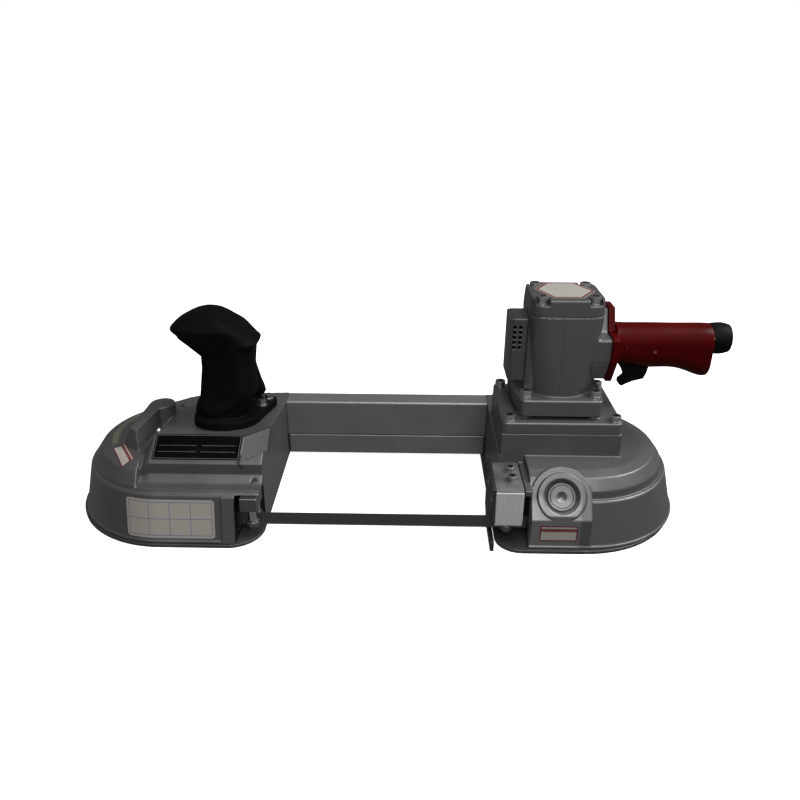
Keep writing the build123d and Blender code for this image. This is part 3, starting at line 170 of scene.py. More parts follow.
# Front handle: (height, left, right, half depth, squareness), and its front panel's (height, left, right)
GRIP = (
    (66.0, -366.0, -318.0, 29.0, 2.4), (80.0, -365.0, -316.0, 28.5, 2.4), (87.0, -365.1, -314.0, 28.0, 2.5),
    (94.5, -363.3, -311.5, 27.0, 2.6), (101.0, -359.2, -308.0, 25.5, 2.8), (104.0, -357.8, -306.0, 25.0, 2.9),
    (130.4, -353.5, -306.8, 22.5, 3.2), (145.0, -352.9, -305.0, 22.5, 3.2), (146.0, -353.6, -304.8, 22.6, 3.2),
    (149.7, -357.9, -304.3, 23.2, 3.3), (152.9, -361.6, -301.3, 23.7, 3.4), (155.5, -364.7, -300.2, 24.0, 3.4),
    (158.0, -367.6, -303.0, 24.3, 3.5), (162.5, -372.7, -307.5, 25.0, 3.6), (166.7, -377.0, -311.2, 25.8, 3.7),
    (168.8, -378.6, -313.6, 26.0, 3.8), (170.7, -378.6, -316.1, 26.0, 3.8), (174.1, -374.5, -321.0, 24.0, 3.7),
    (179.0, -366.0, -328.0, 21.0, 3.4), (182.0, -360.0, -332.5, 17.5, 3.2), (184.2, -353.5, -338.0, 13.0, 2.8),
    (185.0, -347.0, -343.0, 8.0, 2.4),
)
GUSSET = (
    (84.0, -337.0, -309.0, 6.0, 2.4), (90.0, -337.0, -304.4, 6.0, 2.4), (96.0, -336.0, -305.4, 6.0, 2.4),
    (103.0, -335.0, -307.9, 6.0, 2.4), (115.0, -334.0, -310.9, 6.0, 2.4), (122.0, -333.0, -312.4, 5.0, 2.4),
)
GUSSET_Y = 42.0
PANEL = (
    (88.0, -347.0, -342.0), (90.5, -352.0, -332.5), (93.3, -356.5, -325.0), (96.5, -360.5, -319.0),
    (100.0, -358.8, -315.0), (103.1, -357.2, -312.7), (110.2, -356.0, -311.2), (133.1, -352.6, -311.1),
    (145.0, -352.2, -311.4), (155.5, -363.5, -311.8), (162.5, -371.3, -312.5), (166.5, -372.5, -314.5),
    (170.5, -369.5, -318.0), (174.0, -364.5, -322.0), (178.0, -358.0, -327.5), (181.0, -351.0, -333.0),
    (182.5, -346.0, -337.0),
)
HANDLE_Y = 12.0
PANEL_RISE = 1.0
PANEL_SQUARE = 5.0
SEAT = (-336.0, 8.0, 73.395)
SEAT_CIRCLES = ((0.5, -3.0, 31.0), (28.5, 49.0, 9.8))
SEAT_HEIGHT = 8.0
SEAT_STEPS = 96
SEAT_SCREWS = ((28.5, 23.0), (30.5, 46.0))

# Screws: corners round a head, a socket and a shank, and how high the socket sits. The cap screws' rows are a node,
# its heads' radius and height and its shanks' radius. The other heads and shanks are a radius and a length
HEAD_SIDES, SOCKET_SIDES, SHANK_SIDES = 32, 6, 16
SOCKET_LIFT = 0.45
CAP_SCREWS = (
    ("lid_screws", 0.005, 0.006, 0.003), ("motor_screws", 0.005, 0.006, 0.003), ("cap_screws", 0.005, 0.0074, 0.0025),
)
WASHER_HEIGHT = 0.0012
WASHER_STUB = 0.002
GUIDE_HEAD, GUIDE_SHANK = (0.0042, 0.005), (0.0025, 0.014)
TONGUE_HEAD, TONGUE_SHANK = (0.0022, 0.0018), (0.002, 0.0085)
TONGUE_SEAT = (-0.068, 0.0498)
LUG_HEAD, LUG_SHANK = (0.0040, 0.0060), (0.003, 0.016)
LUG_WASHER, LUG_STUB = (0.0052, 0.0014), 0.004
FLOOR_HEAD, FLOOR_SHANK = (0.0032, 0.0028), (0.002, 0.005)
FLOOR_SCREW = Vector((-0.3929, -0.0234, ABOVE))
FLOOR_DOME = 0.0012
FLOOR_SOCKET = 0.8

# Printed pieces
LABEL_THICK = 0.00018
LABEL_CORNER = 0.0006
CARD_SIZE = (0.079, 0.0345)
CARD_CORNER = 0.003
CARD_FRAME = 0.0024
CARD_LINE = 0.00025
CARD_COLUMNS = 4
CARD_START = -0.030
CARD_LOW = 0.0078
SKIRT = ((0.006, 0.0946), (0.043, 0.0860))
PANEL_LABEL = (0.0325, 0.0155)
PANEL_PLACE = mm(-47.0, -95.0, 11.0)
RING_LABEL = (0.032, 0.0120)
RING_CORNERS = (mm(-432.4, -37.5, 500.0), mm(-415.1, -64.6, 500.0), mm(-423.3, -29.6, 500.0))
PLATE_SIZE = (0.078, 0.0260)
PLATE_CORNER = 0.0015
PLATE_THICK = 0.0003
PLATE_RAISE = 0.0010
PLATE_LINE = 0.00018
CAP_BORDER = 0.0028
CAP_INSET = 0.87
CAP_SIDES = ((-51.0, 11.0), (-37.6, 33.0), (-11.6, 33.0), (1.6, 5.6), (-12.6, -15.5), (-38.5, -15.8))
LINE_CORNER = 0.0002
LINE_THICK = 0.00006
LINE_COLUMNS = 2
SEAM_START = mm(-28.1, -200.0, 118.0)
SEAM_SIZE = (0.0005, 0.0715)
JOINT_START = mm(-43.4, -200.0, 189.3)
JOINT_SIZE = (0.0394, 0.0006)
ARC_RADIUS = 0.0610
ARC_SPAN = (math.radians(144.0), math.radians(208.0))
ARC_WIDTH = 0.0055
ARC_CORNER = 0.0004
ARC_THICK = 0.00008

# Painted shade on a facet of the idler housing: a point, its way out, the box it ends in, how it fades and how much
# it covers
FACET_START = mm(-301.0, -28.0, 76.6)
FACET_WAY = (0.70, -0.40, 0.585)
FACET_BOX = (mm(-323.0, -200.0, 62.0), mm(0.0, 200.0, 300.0), 0.002)
FACET_SOFT = (0.0014, 0.0008)
FACET_COVER = 0.9
FACET_SHADE = 0.30

# Painted light and shade on the castings: two corners of a box, how softly it ends, and a factor on the paint
PATCH_COVER = 0.92
PAINTED_LIGHT_PATCHES = (
    # Painted shade in the idler housing's guide notch
    (mm(-312.4, -200.0, -5.0), mm(-284.0, -62.6, 46.2), 0.0004, 0.06),
    # Painted bounce light from the floor on the drive housing's front panel
    (mm(-61.5, -200.0, -5.0), mm(-14.0, -87.0, 50.0), 0.0030, 1.9),
    # Painted bounce light from the floor on the idler housing's left end
    (mm(-600.0, -200.0, -5.0), mm(-450.0, 200.0, 44.0), 0.0250, 1.45),
    # Lighter in a band from 86 to 115 mm up
    (mm(-200.0, -200.0, 86.4), mm(200.0, 200.0, 115.4), 0.0006, 1.14),
    # Darker on the motor cap, from 192 mm up
    (mm(-200.0, -200.0, 191.6), mm(200.0, 200.0, 300.0), 0.0006, 0.80),
    # Painted shade on the motor's left side
    (mm(-100.0, -200.0, 124.0), mm(-54.0, 200.0, 186.0), 0.0010, 0.84),
)


# Sizes and colours that a user would change
def length(name, text, default):
    """A length property in metres."""
    return FloatProperty(name=name, description=text, default=default, unit="LENGTH", precision=5)


def colour(name, text, default):
    """A colour property."""
    return FloatVectorProperty(name=name, description=text, default=default, subtype="COLOR", min=0.0, max=1.0)


class SawStage(bpy.types.PropertyGroup):
    """Camera and lights."""

    camera_place: FloatVectorProperty(
        name="Camera place", description="Where the camera stands", unit="LENGTH", subtype="TRANSLATION",
        default=(-0.159527, -0.622622, 0.389856),
    )
    camera_turn: FloatVectorProperty(
        name="Camera turn", description="How the camera is turned", subtype="EULER",
        default=(math.radians(65.067), math.radians(-0.2164), math.radians(1.0661)),
    )
    lens: FloatProperty(name="Lens", description="Focal length in millimetres", default=32.9376)
    sky: FloatProperty(name="Sky", description="Strength of the light from all round", default=0.15)
    power: FloatProperty(name="Power", description="Factor on the lamps' own powers", default=1.0)
    floor: colour("Floor", "Colour of the floor", (0.62, 0.62, 0.62))


class SawCastings(bpy.types.PropertyGroup):
    """How far the castings' edges are eased."""

    grain: length("Grain", "Spacing of the points on a casting's skin", 0.00052)
    rounds: IntProperty(name="Rounds", description="How often the skin is eased", default=9, min=0)
    triangles: IntProperty(name="Triangles", description="Most triangles on one casting", default=190000, min=1000)


class SawColours(bpy.types.PropertyGroup):
    """Colours of the finishes."""

    cast: colour("Cast paint", "Silver-grey paint of the castings", (0.088, 0.088, 0.090))
    # Lighter than the castings' paint, as painted bounce light from the floor
    beam: colour("Beam paint", "Paint of the beam", (0.155, 0.155, 0.158))
    cover: colour("Cover paint", "Paint of the base covers", (0.060, 0.060, 0.062))
    red: colour("Red gloss", "Paint of the trigger handle", (0.041, 0.0008, 0.0008))
    rubber: colour("Rubber", "Rubber of the front handle", (0.0022, 0.0022, 0.0024))
    plate: colour("Plate", "Black of the nameplate", (0.0018, 0.0018, 0.0020))
    cream: colour("Cream", "Paper of the labels", (0.26, 0.245, 0.22))
    ink: colour("Ink", "Lines on the cream labels", (0.05, 0.05, 0.16))
    border: colour("Border", "Red border of the small labels", (0.085, 0.006, 0.012))
    olive: colour("Olive", "Faded arc on the idler housing", (0.100, 0.104, 0.042))


class SawBlade(bpy.types.PropertyGroup):
    """The blade's teeth."""

    pitch: length("Pitch", "Length of one tooth", 0.0018)
    gullet: length("Gullet", "Depth between two teeth", 0.0009)


class SawScrews(bpy.types.PropertyGroup):
    """Heads of the screws."""

    dome: length("Dome", "Rise of a cap screw's top edge", 0.0005)
    washer: length("Washer", "How far a washer stands out round its head", 0.0004)
    socket: FloatProperty(name="Socket", description="Share of a head that its socket takes", default=0.62)


# Shader values and finishes
def sums(operation, swapped=False):
    """A method that puts one sum into a tree."""

    def method(self, other):
        return self.sum(operation, *((other, self) if swapped else (self, other)))

    return method


class Wire:
    """A node's output that takes part in plain sums."""

    def __init__(self, graph, socket):
        self.graph = graph
        self.socket = socket

    def sum(self, operation, first, second=0.0):
        return self.graph.node("ShaderNodeMath", {"operation": operation}, {0: first, 1: second})

    __add__, __radd__ = sums("ADD"), sums("ADD", True)
    __sub__, __rsub__ = sums("SUBTRACT"), sums("SUBTRACT", True)
    __mul__, __rmul__ = sums("MULTIPLY"), sums("MULTIPLY", True)
    __truediv__, __pow__ = sums("DIVIDE"), sums("POWER")
    __or__, __and__ = sums("MAXIMUM"), sums("MINIMUM")
    __gt__, __lt__ = sums("GREATER_THAN"), sums("LESS_THAN")

    def __abs__(self):
        return self.sum("ABSOLUTE", self)

    def between(self, low, high):
        """0 at low, 1 at high, and straight between them."""
        sockets = {"Value": self, "From Min": low, "From Max": high}
        return self.graph.node("ShaderNodeMapRange", {"clamp": True}, sockets)


class Graph:
    """A node tree being put together."""

    def __init__(self, tree):
        self.tree = tree

    def plug(self, socket, value):
        if isinstance(value, Wire):
            self.tree.links.new(value.socket, socket)
        elif isinstance(value, (int, float)):
            socket.default_value = value
        elif len(socket.default_value) == 4:
            socket.default_value = (*value[:3], 1.0)
        else:
            socket.default_value = value

    def node(self, kind, settings=None, sockets=None, output=0):
        """A node with its settings, then its sockets, and the output that is asked for."""
        node = self.tree.nodes.new(kind)
        for name, value in (settings or {}).items():
            setattr(node, name, value)
        named = {socket.identifier: socket for socket in node.inputs}
        for key, value in (sockets or {}).items():
            for item in value if isinstance(value, list) else [value]:
                self.plug(named.get(key) or node.inputs[key], item)
        return Wire(self, node.outputs[output])

    def split(self, place):
        return [self.node("ShaderNodeSeparateXYZ", None, {"Vector": place}, axis) for axis in "XYZ"]


class Finish(Graph):
    """A material being put together."""

    def __init__(self, name):
        self.material = bpy.data.materials.new(name)
        self.material.use_nodes = True
        super().__init__(self.material.node_tree)
        self.shader = self.tree.nodes["Principled BSDF"]

    def place(self):
        return self.node("ShaderNodeTexCoord", output="Object")

    def print_place(self):
        return self.node("ShaderNodeUVMap", {"uv_map": "print"})

    def stretch(self, scale):
        return self.node("ShaderNodeMapping", None, {"Vector": self.place(), "Scale": scale})

    def noise(self, scale, detail=2.0, place=None):
        sockets = {"Vector": place or self.place(), "Scale": scale, "Detail": detail}
        return self.node("ShaderNodeTexNoise", None, sockets, "Fac")

    def cloud(self, scale, detail=4):
        """Soft patches."""
        return self.noise(scale, detail).between(0.3, 0.7)

    def bend(self):
        """Above a half on an edge, and below it in a corner."""
        return self.node("ShaderNodeNewGeometry", output="Pointiness")

    def blend(self, share, first, second):
        sockets = {"Factor_Float": share, "A_Color": first, "B_Color": second}
        return self.node("ShaderNodeMix", {"data_type": "RGBA"}, sockets, "Result")

    def layered(self, base, share, low, high, *layers):
        """A darker to a lighter shade of a colour, with layers of other shades or colours over it."""
        shade = self.blend(share, tint(base, low), tint(base, high))
        for cover, over in layers:
            shade = self.blend(cover, shade, tint(base, over) if isinstance(over, float) else over)
        return shade

    def wear(self, shade, roughness, height=None, depth=0.0, **values):
        """Sets the shader's sockets, those in values by their names with spaces for underlines."""
        if height is not None:
            sockets = {"Height": height, "Distance": depth, "Strength": 1.0}
            values["normal"] = self.node("ShaderNodeBump", None, sockets, "Normal")
        for name, value in {"base_color": shade, "roughness": roughness, **values}.items():
            self.plug(self.shader.inputs[name.replace("_", " ").title().replace("Ior", "IOR")], value)
        return self.material


def material(maker):
    """A finish, made the first time that it is asked for."""
    return bpy.data.materials.get(maker.__name__) or maker(Finish(maker.__name__))


def tint(base, factor):
    """A colour made lighter or darker."""
    return tuple(min(1.0, part * factor) for part in base)


def colours():
    return bpy.context.scene.saw_colours


def painted(finish, base, patches=()):
    """Paint on a cast skin: fine grain, soft clouds, dust and painted shade in corners, thin paint on edges, and
    patches of painted light and shade.
    """
    cloud = finish.cloud(26)
    fleck = finish.noise(2600, 1).between(0.35, 0.65)
    bend = finish.bend()
    edge = bend.between(0.515, 0.60) * finish.noise(180, 3).between(0.38, 0.62)
    # Darker in concave corners: dust and painted shade
    corner = bend.between(0.488, 0.43)
    layers = (fleck * 0.5, 1.25), (corner * 0.55, 0.42), (edge * 0.3, 1.6), *patches
    return finish.wear(
        finish.layered(base, cloud, 0.90, 1.08, *layers), 0.36 + 0.08 * cloud + 0.10 * corner - 0.06 * edge,
        finish.noise(950, 3) + 0.35 * fleck, 0.00005, metallic=0.55, specular_ior_level=0.42,
    )


def inside(finish, low, high, soft):
    """1 within a box, fading to 0 over so much at its sides."""
    share = 1.0
    for along, start, end in zip(finish.split(finish.place()), low, high):
        share = share * along.between(start - soft, start) * along.between(end + soft, end)
    return share


def cast_paint(finish):
    """Silver-grey paint on the castings, with painted shade on a facet and painted light and shade in some places."""
    away = 0.0
    for along, start, part in zip(finish.split(finish.place()), FACET_START, FACET_WAY):
        away = away + part * (along - start)
    # The facet's painted shade
    facet = abs(away).between(*FACET_SOFT) * inside(finish, *FACET_BOX)
    patches = [(FACET_COVER * facet, FACET_SHADE)]
    # Patches of painted light and shade
    for low, high, soft, factor in PAINTED_LIGHT_PATCHES:
        patches.append((PATCH_COVER * inside(finish, low, high, soft), factor))
    return painted(finish, colours().cast, patches)


def beam_paint(finish):
    """Beam paint, lighter than the castings' as painted bounce light from the floor."""
    return painted(finish, colours().beam)


def cover_paint(finish):
    """Paint on the base covers, duller than the castings."""
    return painted(finish, colours().cover)


def gloss_red(finish):
    """Red gloss paint with marks, and chips down to the bare metal."""
    cloud = finish.cloud(35, 3)
    edge = finish.bend().between(0.52, 0.62)
    chip = (finish.noise(130, 4) + 0.22 * edge).between(0.78, 0.81)
    scuff = finish.noise(420, 5, finish.stretch((0.35, 1.0, 1.0))).between(0.60, 0.75) * 0.25
    layers = [(scuff, 1.9), (chip, (0.34, 0.30, 0.29))]
    x, y, z = finish.split(finish.place())
    front = y.between(0.0, -0.004)
    for at, up, size, shade in RED_MARKS:
        off = (x - at) * (x - at) + (z - up) * (z - up)
        layers.append((off.between((size * 1.2) ** 2, (size * 0.8) ** 2) * front, shade))
    return finish.wear(
        finish.layered(colours().red, cloud, 0.85, 1.15, *layers), 0.34 + 0.14 * cloud + 0.25 * scuff + 0.2 * chip,
        finish.noise(700, 2) - 2.0 * chip, 0.00003, metallic=0.75 * chip, specular_ior_level=0.035,
        coat_weight=0.03 - 0.03 * chip, coat_roughness=0.14,
    )


def moulded_rubber(finish):
    """Black moulded rubber with a fine matt skin and rubbed edges."""
    cloud = finish.cloud(30)
    edge = finish.bend().between(0.51, 0.58)
    dust = finish.noise(75, 5).between(0.52, 0.75)
    return finish.wear(
        finish.layered(colours().rubber, cloud, 0.8, 1.3, (0.25 * dust, 3.0), (0.45 * edge, 3.0)),
        0.58 + 0.14 * cloud - 0.08 * edge, finish.noise(1500, 3), 0.00005, specular_ior_level=0.035,
    )


def satin_black(finish):
    """Black moulded plastic with a satin skin."""
    cloud = finish.cloud(60)
    black = finish.blend(cloud, (0.0028, 0.0028, 0.0028), (0.0048, 0.0048, 0.0047))
    black = finish.blend(0.4 * finish.bend().between(0.52, 0.62), black, (0.014, 0.014, 0.014))
    return finish.wear(black, 0.42 + 0.12 * cloud, finish.noise(1300, 2), 0.00003, specular_ior_level=0.035)


def metal(
    finish, base, roughness, streak=(1.0, 1.0, 1.0), depth=0.00001, scale=900, bare=1.0, lit=None, dim=None, edge_highlight=0.0,
):
    """Bare metal with marks drawn out one way, grease and painted shade in its corners, and a painted highlight on
    its edges; dim where it isn't lit.
    """
    lines = finish.noise(scale, 4, finish.stretch(streak))
    cloud = finish.cloud(45)
    bend = finish.bend()
    corner = bend.between(0.49, 0.42)
    shade = finish.layered(base, lines.between(0.3, 0.7), 0.82, 1.12)
    if lit is not None:
        shade = finish.blend(lit, dim, shade)
    # Corners darkened as grease and painted shade; edges lightened as a painted highlight
    for cover, factor in ((0.35 * cloud, 0.72), (edge_highlight * bend.between(0.52, 0.60), 2.4), (0.95 * corner, 0.05)):
        shade = finish.blend(cover, shade, tint(base, factor))
    return finish.wear(
        shade, roughness + 0.10 * cloud + 0.08 * lines, lines, depth, metallic=bare - 0.3 * bare * corner,
    )


def zinc(finish):
    """Bright zinc plate on small screws."""
    return metal(finish, (0.42, 0.42, 0.43), 0.26)


def dull_steel(finish):
    """Oiled dark steel of the cap screws and of the left guide block, with a painted highlight on its edges."""
    return metal(finish, (0.23, 0.23, 0.232), 0.30, edge_highlight=0.8)


def plate_steel(finish):
    """Dark rolled plate of the stop."""
    return metal(finish, (0.060, 0.060, 0.062), 0.46)


def dark_steel(finish):
    """Blackened steel of rollers and inner fittings; on the rollers its darkness is also painted shade under the
    guide blocks.
    """
    return metal(finish, (0.045, 0.045, 0.047), 0.40)


def milled_steel(finish):
    """Bright milled front face with fine cross marks, and oiled dark faces behind it."""
    _, y, _ = finish.split(finish.place())
    face = y.between(GUIDE_FACE + 0.0006, GUIDE_FACE + 0.0004)
    dim = (0.050, 0.050, 0.052)
    return metal(finish, (0.46, 0.46, 0.47), 0.50, (1.0, 1.0, 0.06), 0.00002, 1400, 0.35, face, dim)


def inner_steel(finish):
    """Ground steel of shafts, bearings and gears."""
    return metal(finish, (0.40, 0.40, 0.41), 0.26)


def chrome(finish):
    """Polished pins with fine turning lines, bright on the left pins above their rollers and dark elsewhere as
    painted shade.
    """
    x, _, z = finish.split(finish.place())
    # Only this lit part is bright; the rest of the pins is painted shade
    shown = x.between(PIN_EDGE + 0.001, PIN_EDGE) * z.between(PIN_LOW, PIN_LOW + 0.0003)
    dim = (0.03, 0.03, 0.031)
    return metal(finish, (0.68, 0.68, 0.70), 0.12, (0.05, 0.05, 1.0), 0.000008, 2200, lit=shown, dim=dim)


def blade_steel(finish):
    """Spring steel band with marks along its length, lighter in the middle of the throat as a painted reflection."""
    x, _, _ = finish.split(finish.place())
    # Painted reflection: the band is lighter near this place
    rubbed = abs(x - BLADE_GLINT_X).between(BLADE_GLINT_HALF, 0.0)
    dim = (0.045, 0.044, 0.044)
    return metal(finish, (0.13, 0.127, 0.127), 0.34, (0.02, 0.02, 1.0), 0.00001, 1300, lit=rubbed, dim=dim)


def wheel_alloy(finish):
    """Turned aluminium wheel."""
    return metal(finish, (0.30, 0.30, 0.31), 0.34, (1.0, 1.0, 0.1), 0.00002, 800)


def brass(finish):
    """Turned brass fitting."""
    return metal(finish, (0.46, 0.33, 0.13), 0.28, (0.06, 1.0, 1.0), 0.00002, 1200)


def tyre(finish):
    """Dark rubber tyre, polished by the blade."""
    cloud = finish.cloud(80)
    grey = finish.blend(cloud, (0.012, 0.012, 0.012), (0.035, 0.034, 0.033))
    return finish.wear(grey, 0.55 + 0.2 * cloud, finish.noise(900, 3), 0.00005)


def vane_plastic(finish):
    """Brown laminate of the motor's vanes."""
    layers = finish.noise(300, 3, finish.stretch((1.0, 1.0, 0.05)))
    brown = finish.blend(layers, (0.10, 0.05, 0.02), (0.20, 0.11, 0.05))
    return finish.wear(brown, 0.5 + 0.15 * layers, layers, 0.00003)


def print_edge(finish, size):
    """How far a place on a print is from its nearest edge, its left one and its lower one."""
    across, up, _ = finish.split(finish.print_place())
    return (across & (size[0] - across)) & (up & (size[1] - up)), across, up


def line_at(value, at, half):
    """1 on a line across a print, and 0 beside it."""
    return abs(value - at).between(half * 1.15, half * 0.85)


def inked(finish, base, share, ink):
    """Paper, a little stained, with ink on so much of it."""
    stain = finish.noise(60, 4).between(0.35, 0.75)
    shade = finish.blend(0.35 * stain, base, tint(base, 0.80))
    shade = finish.blend(share, shade, ink)
    return finish.wear(shade, 0.40 + 0.15 * stain, finish.noise(1600, 3), 0.000012, specular_ior_level=0.4)


def blank_card(finish):
    """Cream card with a thin frame and empty boxes."""
    near, across, up = print_edge(finish, CARD_SIZE)
    frame_line = line_at(near, CARD_FRAME, CARD_LINE)
    field = near.between(CARD_FRAME * 0.95, CARD_FRAME * 1.05)
    boxes = line_at(up, CARD_SIZE[1] / 2, CARD_LINE)
    for step in range(1, CARD_COLUMNS):
        along = CARD_FRAME + step * (CARD_SIZE[0] - 2 * CARD_FRAME) / CARD_COLUMNS
        boxes = boxes | line_at(across, along, CARD_LINE)
    return inked(finish, colours().cream, 0.85 * (frame_line | (boxes * field)), colours().ink)


def striped_label(finish, size):
    """Cream label with a red border and a plain red stripe."""
    near, _, up = print_edge(finish, size)
    width = size[1] * 0.07
    border = near.between(width * 1.08, width * 0.92)
    stripe = line_at(up, size[1] * 0.72, size[1] * 0.11)
    return inked(finish, colours().cream, border | (0.9 * stripe), colours().border)


def panel_label(finish):
    """Red-bordered label on the drive panel."""
    return striped_label(finish, PANEL_LABEL)


def ring_label(finish):
    """Small red-bordered label on the idler housing."""
    return striped_label(finish, RING_LABEL)


def cap_label(finish):
    """Six-sided cream label with a red border."""
    inwards, _, _ = finish.split(finish.print_place())
    border = inwards.between(CAP_BORDER * 1.1, CAP_BORDER * 0.9)
    border = border * inwards.between(CAP_BORDER * 0.15, CAP_BORDER * 0.3)
    return inked(finish, tint(colours().cream, 0.95), border, colours().border)


def olive_print(finish):
    """Faded olive print, worn through to the paint."""
    worn = finish.noise(230, 5).between(0.40, 0.58)
    shade = finish.blend(worn, colours().olive, colours().cast)
    return finish.wear(
        shade, 0.44 + 0.1 * worn, finish.noise(950, 3), 0.00004, metallic=0.1 * worn, specular_ior_level=0.42,
    )


def seam_shade(finish):
    """Painted shade along a casting's parting line, in soft patches."""
    dust = finish.cloud(300)
    return finish.wear(finish.layered(colours().cast, dust, 0.22, 0.42), 0.6 + 0.1 * dust, dust, 0.00003)


def worn_edge(finish):
    """Painted highlight along an edge, in patches of bare metal where the paint is worn."""
    worn = finish.noise(260, 4).between(0.42, 0.60)
    shade = finish.blend(worn, colours().cast, (0.40, 0.39, 0.38))
    return finish.wear(shade, 0.42 - 0.08 * worn, finish.noise(950, 3), 0.00003, metallic=0.4 + 0.3 * worn)


def name_plate(finish):
    """Black plate with a thin bright border and empty ruled fields."""
    width, height = PLATE_SIZE
    near, across, up = print_edge(finish, PLATE_SIZE)
    border = line_at(near, 0.0011, 0.00022)
    field = near.between(0.0040, 0.0042)
    rules = line_at(up, height * 0.30, PLATE_LINE) | line_at(up, height * 0.55, PLATE_LINE)
    rules = rules * (1.0 - line_at(across, width * 0.52, 0.0022))
    bright = border | (rules * field)
    dust = finish.noise(70, 5).between(0.5, 0.8)
    shade = finish.blend(0.04 * dust, colours().plate, (0.05, 0.05, 0.05))
    shade = finish.blend(0.75 * bright, shade, (0.16, 0.16, 0.165))
    return finish.wear(
        shade, 0.40 + 0.2 * dust, finish.noise(1200, 2) + 0.6 * bright, 0.00002, metallic=0.6 * bright,
        specular_ior_level=0.015,
    )


def pale_floor(finish):
    """Plain pale floor with the faintest grain, fading out far from the saw."""
    stage = bpy.context.scene.saw_stage
    cloud = finish.noise(3, 3)
    away = finish.node("ShaderNodeVectorMath", {"operation": "LENGTH"}, {0: finish.place()}, "Value")
    return finish.wear(
        finish.layered(stage.floor, cloud, 0.99, 1.01), 0.75 + 0.1 * cloud, specular_ior_level=0.0,
        emission_color=finish.blend(away.between(*FLOOR_GLOW), (0.86, 0.86, 0.86), (1.0, 1.0, 1.0)),
        emission_strength=1.0, alpha=away.between(FLOOR_FADE[1], FLOOR_FADE[0]),
    )


def studio_sky(sky):
    """White behind the saw, and soft even light from all round."""
    world = bpy.data.worlds.new("studio")
    world.use_nodes = True
    graph = Graph(world.node_tree)
    seen = graph.node("ShaderNodeLightPath", output="Is Camera Ray")
    ground = world.node_tree.nodes["Background"]
    graph.plug(ground.inputs["Color"], (1.0, 1.0, 1.0))
    graph.plug(ground.inputs["Strength"], sky + seen * (1.0 - sky))
    return world


# Meshes
def add_piece(name, mesh, finish):
    """A linked object with one finish."""
    piece = bpy.data.objects.new(name, mesh)
    bpy.context.scene.collection.objects.link(piece)
    mesh.materials.clear()
    mesh.materials.append(material(finish))
    return piece


def settle(piece, *nodes, slot=None):
    """Makes a piece ride on its nodes' body or the frame and stand for its nodes; its slot is not used."""
    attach(piece, body_of[nodes[0]] if nodes else "frame")
    if nodes:
        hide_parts(*nodes)
    return piece


def merged(node):
    """A copy of a node's mesh with its corners joined."""
    work = bmesh.new()
    work.from_mesh(frame["nodes"][node].data)
    bmesh.ops.remove_doubles(work, verts=work.verts, dist=NODE_JOIN)
    mesh = bpy.data.meshes.new(f"{node}_skin")
    work.to_mesh(mesh)
    work.free()
    return mesh


def made_plain(piece):
    """Turns a piece and its modifiers into a plain mesh."""
    plain = bpy.data.meshes.new_from_object(piece.evaluated_get(bpy.context.evaluated_depsgraph_get()))
    piece.modifiers.clear()
    piece.data = plain
    return piece


def smooth(piece, angle=None):
    """Shades a piece smooth, with edges sharper than the angle kept."""
    piece.data.shade_smooth()
    if angle is not None:
        piece.data.set_sharp_from_angle(angle=math.radians(angle))
    return piece


def ease(piece, grain, rounds, triangles):
    """Gives a piece an even skin, eases its edges and thins it to so many triangles."""
    skin = piece.modifiers.new("skin", "REMESH")
    skin.mode = "VOXEL"
    skin.voxel_size = grain
    soft = piece.modifiers.new("soft", "SMOOTH")
    soft.factor = EASE_FACTOR
    soft.iterations = rounds
    made_plain(piece)
    count = 2 * len(piece.data.polygons)
    if count > triangles:
        thin = piece.modifiers.new("thin", "DECIMATE")
        thin.ratio = triangles / count
        made_plain(piece)
    return smooth(piece)


def eased_node(node, finish, *skin):
    """A node's shape with its edges eased."""
    piece = add_piece(f"{node}_skin", merged(node), finish)
    ease(piece, *skin)
    return settle(piece, node)


def quads(rows, count, around=True, closed=False):
    """Faces between rows of so many points, joined round each row, and from the last row to the first."""
    faces = []
    for row in range(rows if closed else rows - 1):
        after = (row + 1) % rows * count
        for step in range(count if around else count - 1):
            beside = (step + 1) % count
            faces.append((row * count + step, row * count + beside, after + beside, after + step))
    return faces


def turned(node, axis, sides, finish, count=64):
    """A ring about a node's middle: sides are the corners of its cut, as a share of the length and a radius."""
    low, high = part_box(node)
    first, second = [way for way in range(3) if way != axis]
    points = []
    for share, radius in sides:
        for step in range(count):
            turn = step * math.tau / count
            point = (low + high) / 2
            point[axis] = low[axis] + share * (high[axis] - low[axis])
            point[first] += radius * math.cos(turn)
            point[second] += radius * math.sin(turn)
            points.append(point)
    mesh = mesh_of(f"{node}_ring", points, quads(len(sides), count, closed=True))
    return settle(smooth(add_piece(f"{node}_ring", mesh, finish), SHARP), node)


def mesh_of(name, points, faces):
    """A mesh of points and faces, with its faces turned outwards."""
    mesh = bpy.data.meshes.new(name)
    mesh.from_pydata([tuple(point) for point in points], [], faces)
    work = bmesh.new()
    work.from_mesh(mesh)
    bmesh.ops.remove_doubles(work, verts=work.verts, dist=MESH_JOIN)
    bmesh.ops.recalc_face_normals(work, faces=work.faces)
    work.to_mesh(mesh)
    work.free()
    return mesh


def print_piece(name, points, faces, places, finish):
    """A piece whose UV map gives each point's place on the print."""
    mesh = bpy.data.meshes.new(name)
    mesh.from_pydata([tuple(point) for point in points], [], faces)
    layer = mesh.uv_layers.new(name="print")
    for loop in mesh.loops:
        layer.data[loop.index].uv = places[loop.vertex_index]
    return smooth(add_piece(name, mesh, finish), SHARP)


def rows_for(height, corner, steps=8):
    """Heights up a label, close together where its corners are round."""
    arcs = [corner * (1 - math.cos(step * math.pi / (2 * steps))) for step in range(steps + 1)]
    between = [corner + (height - 2 * corner) * step / steps for step in range(1, steps)]
    return arcs + between + [height - arc for arc in reversed(arcs)]


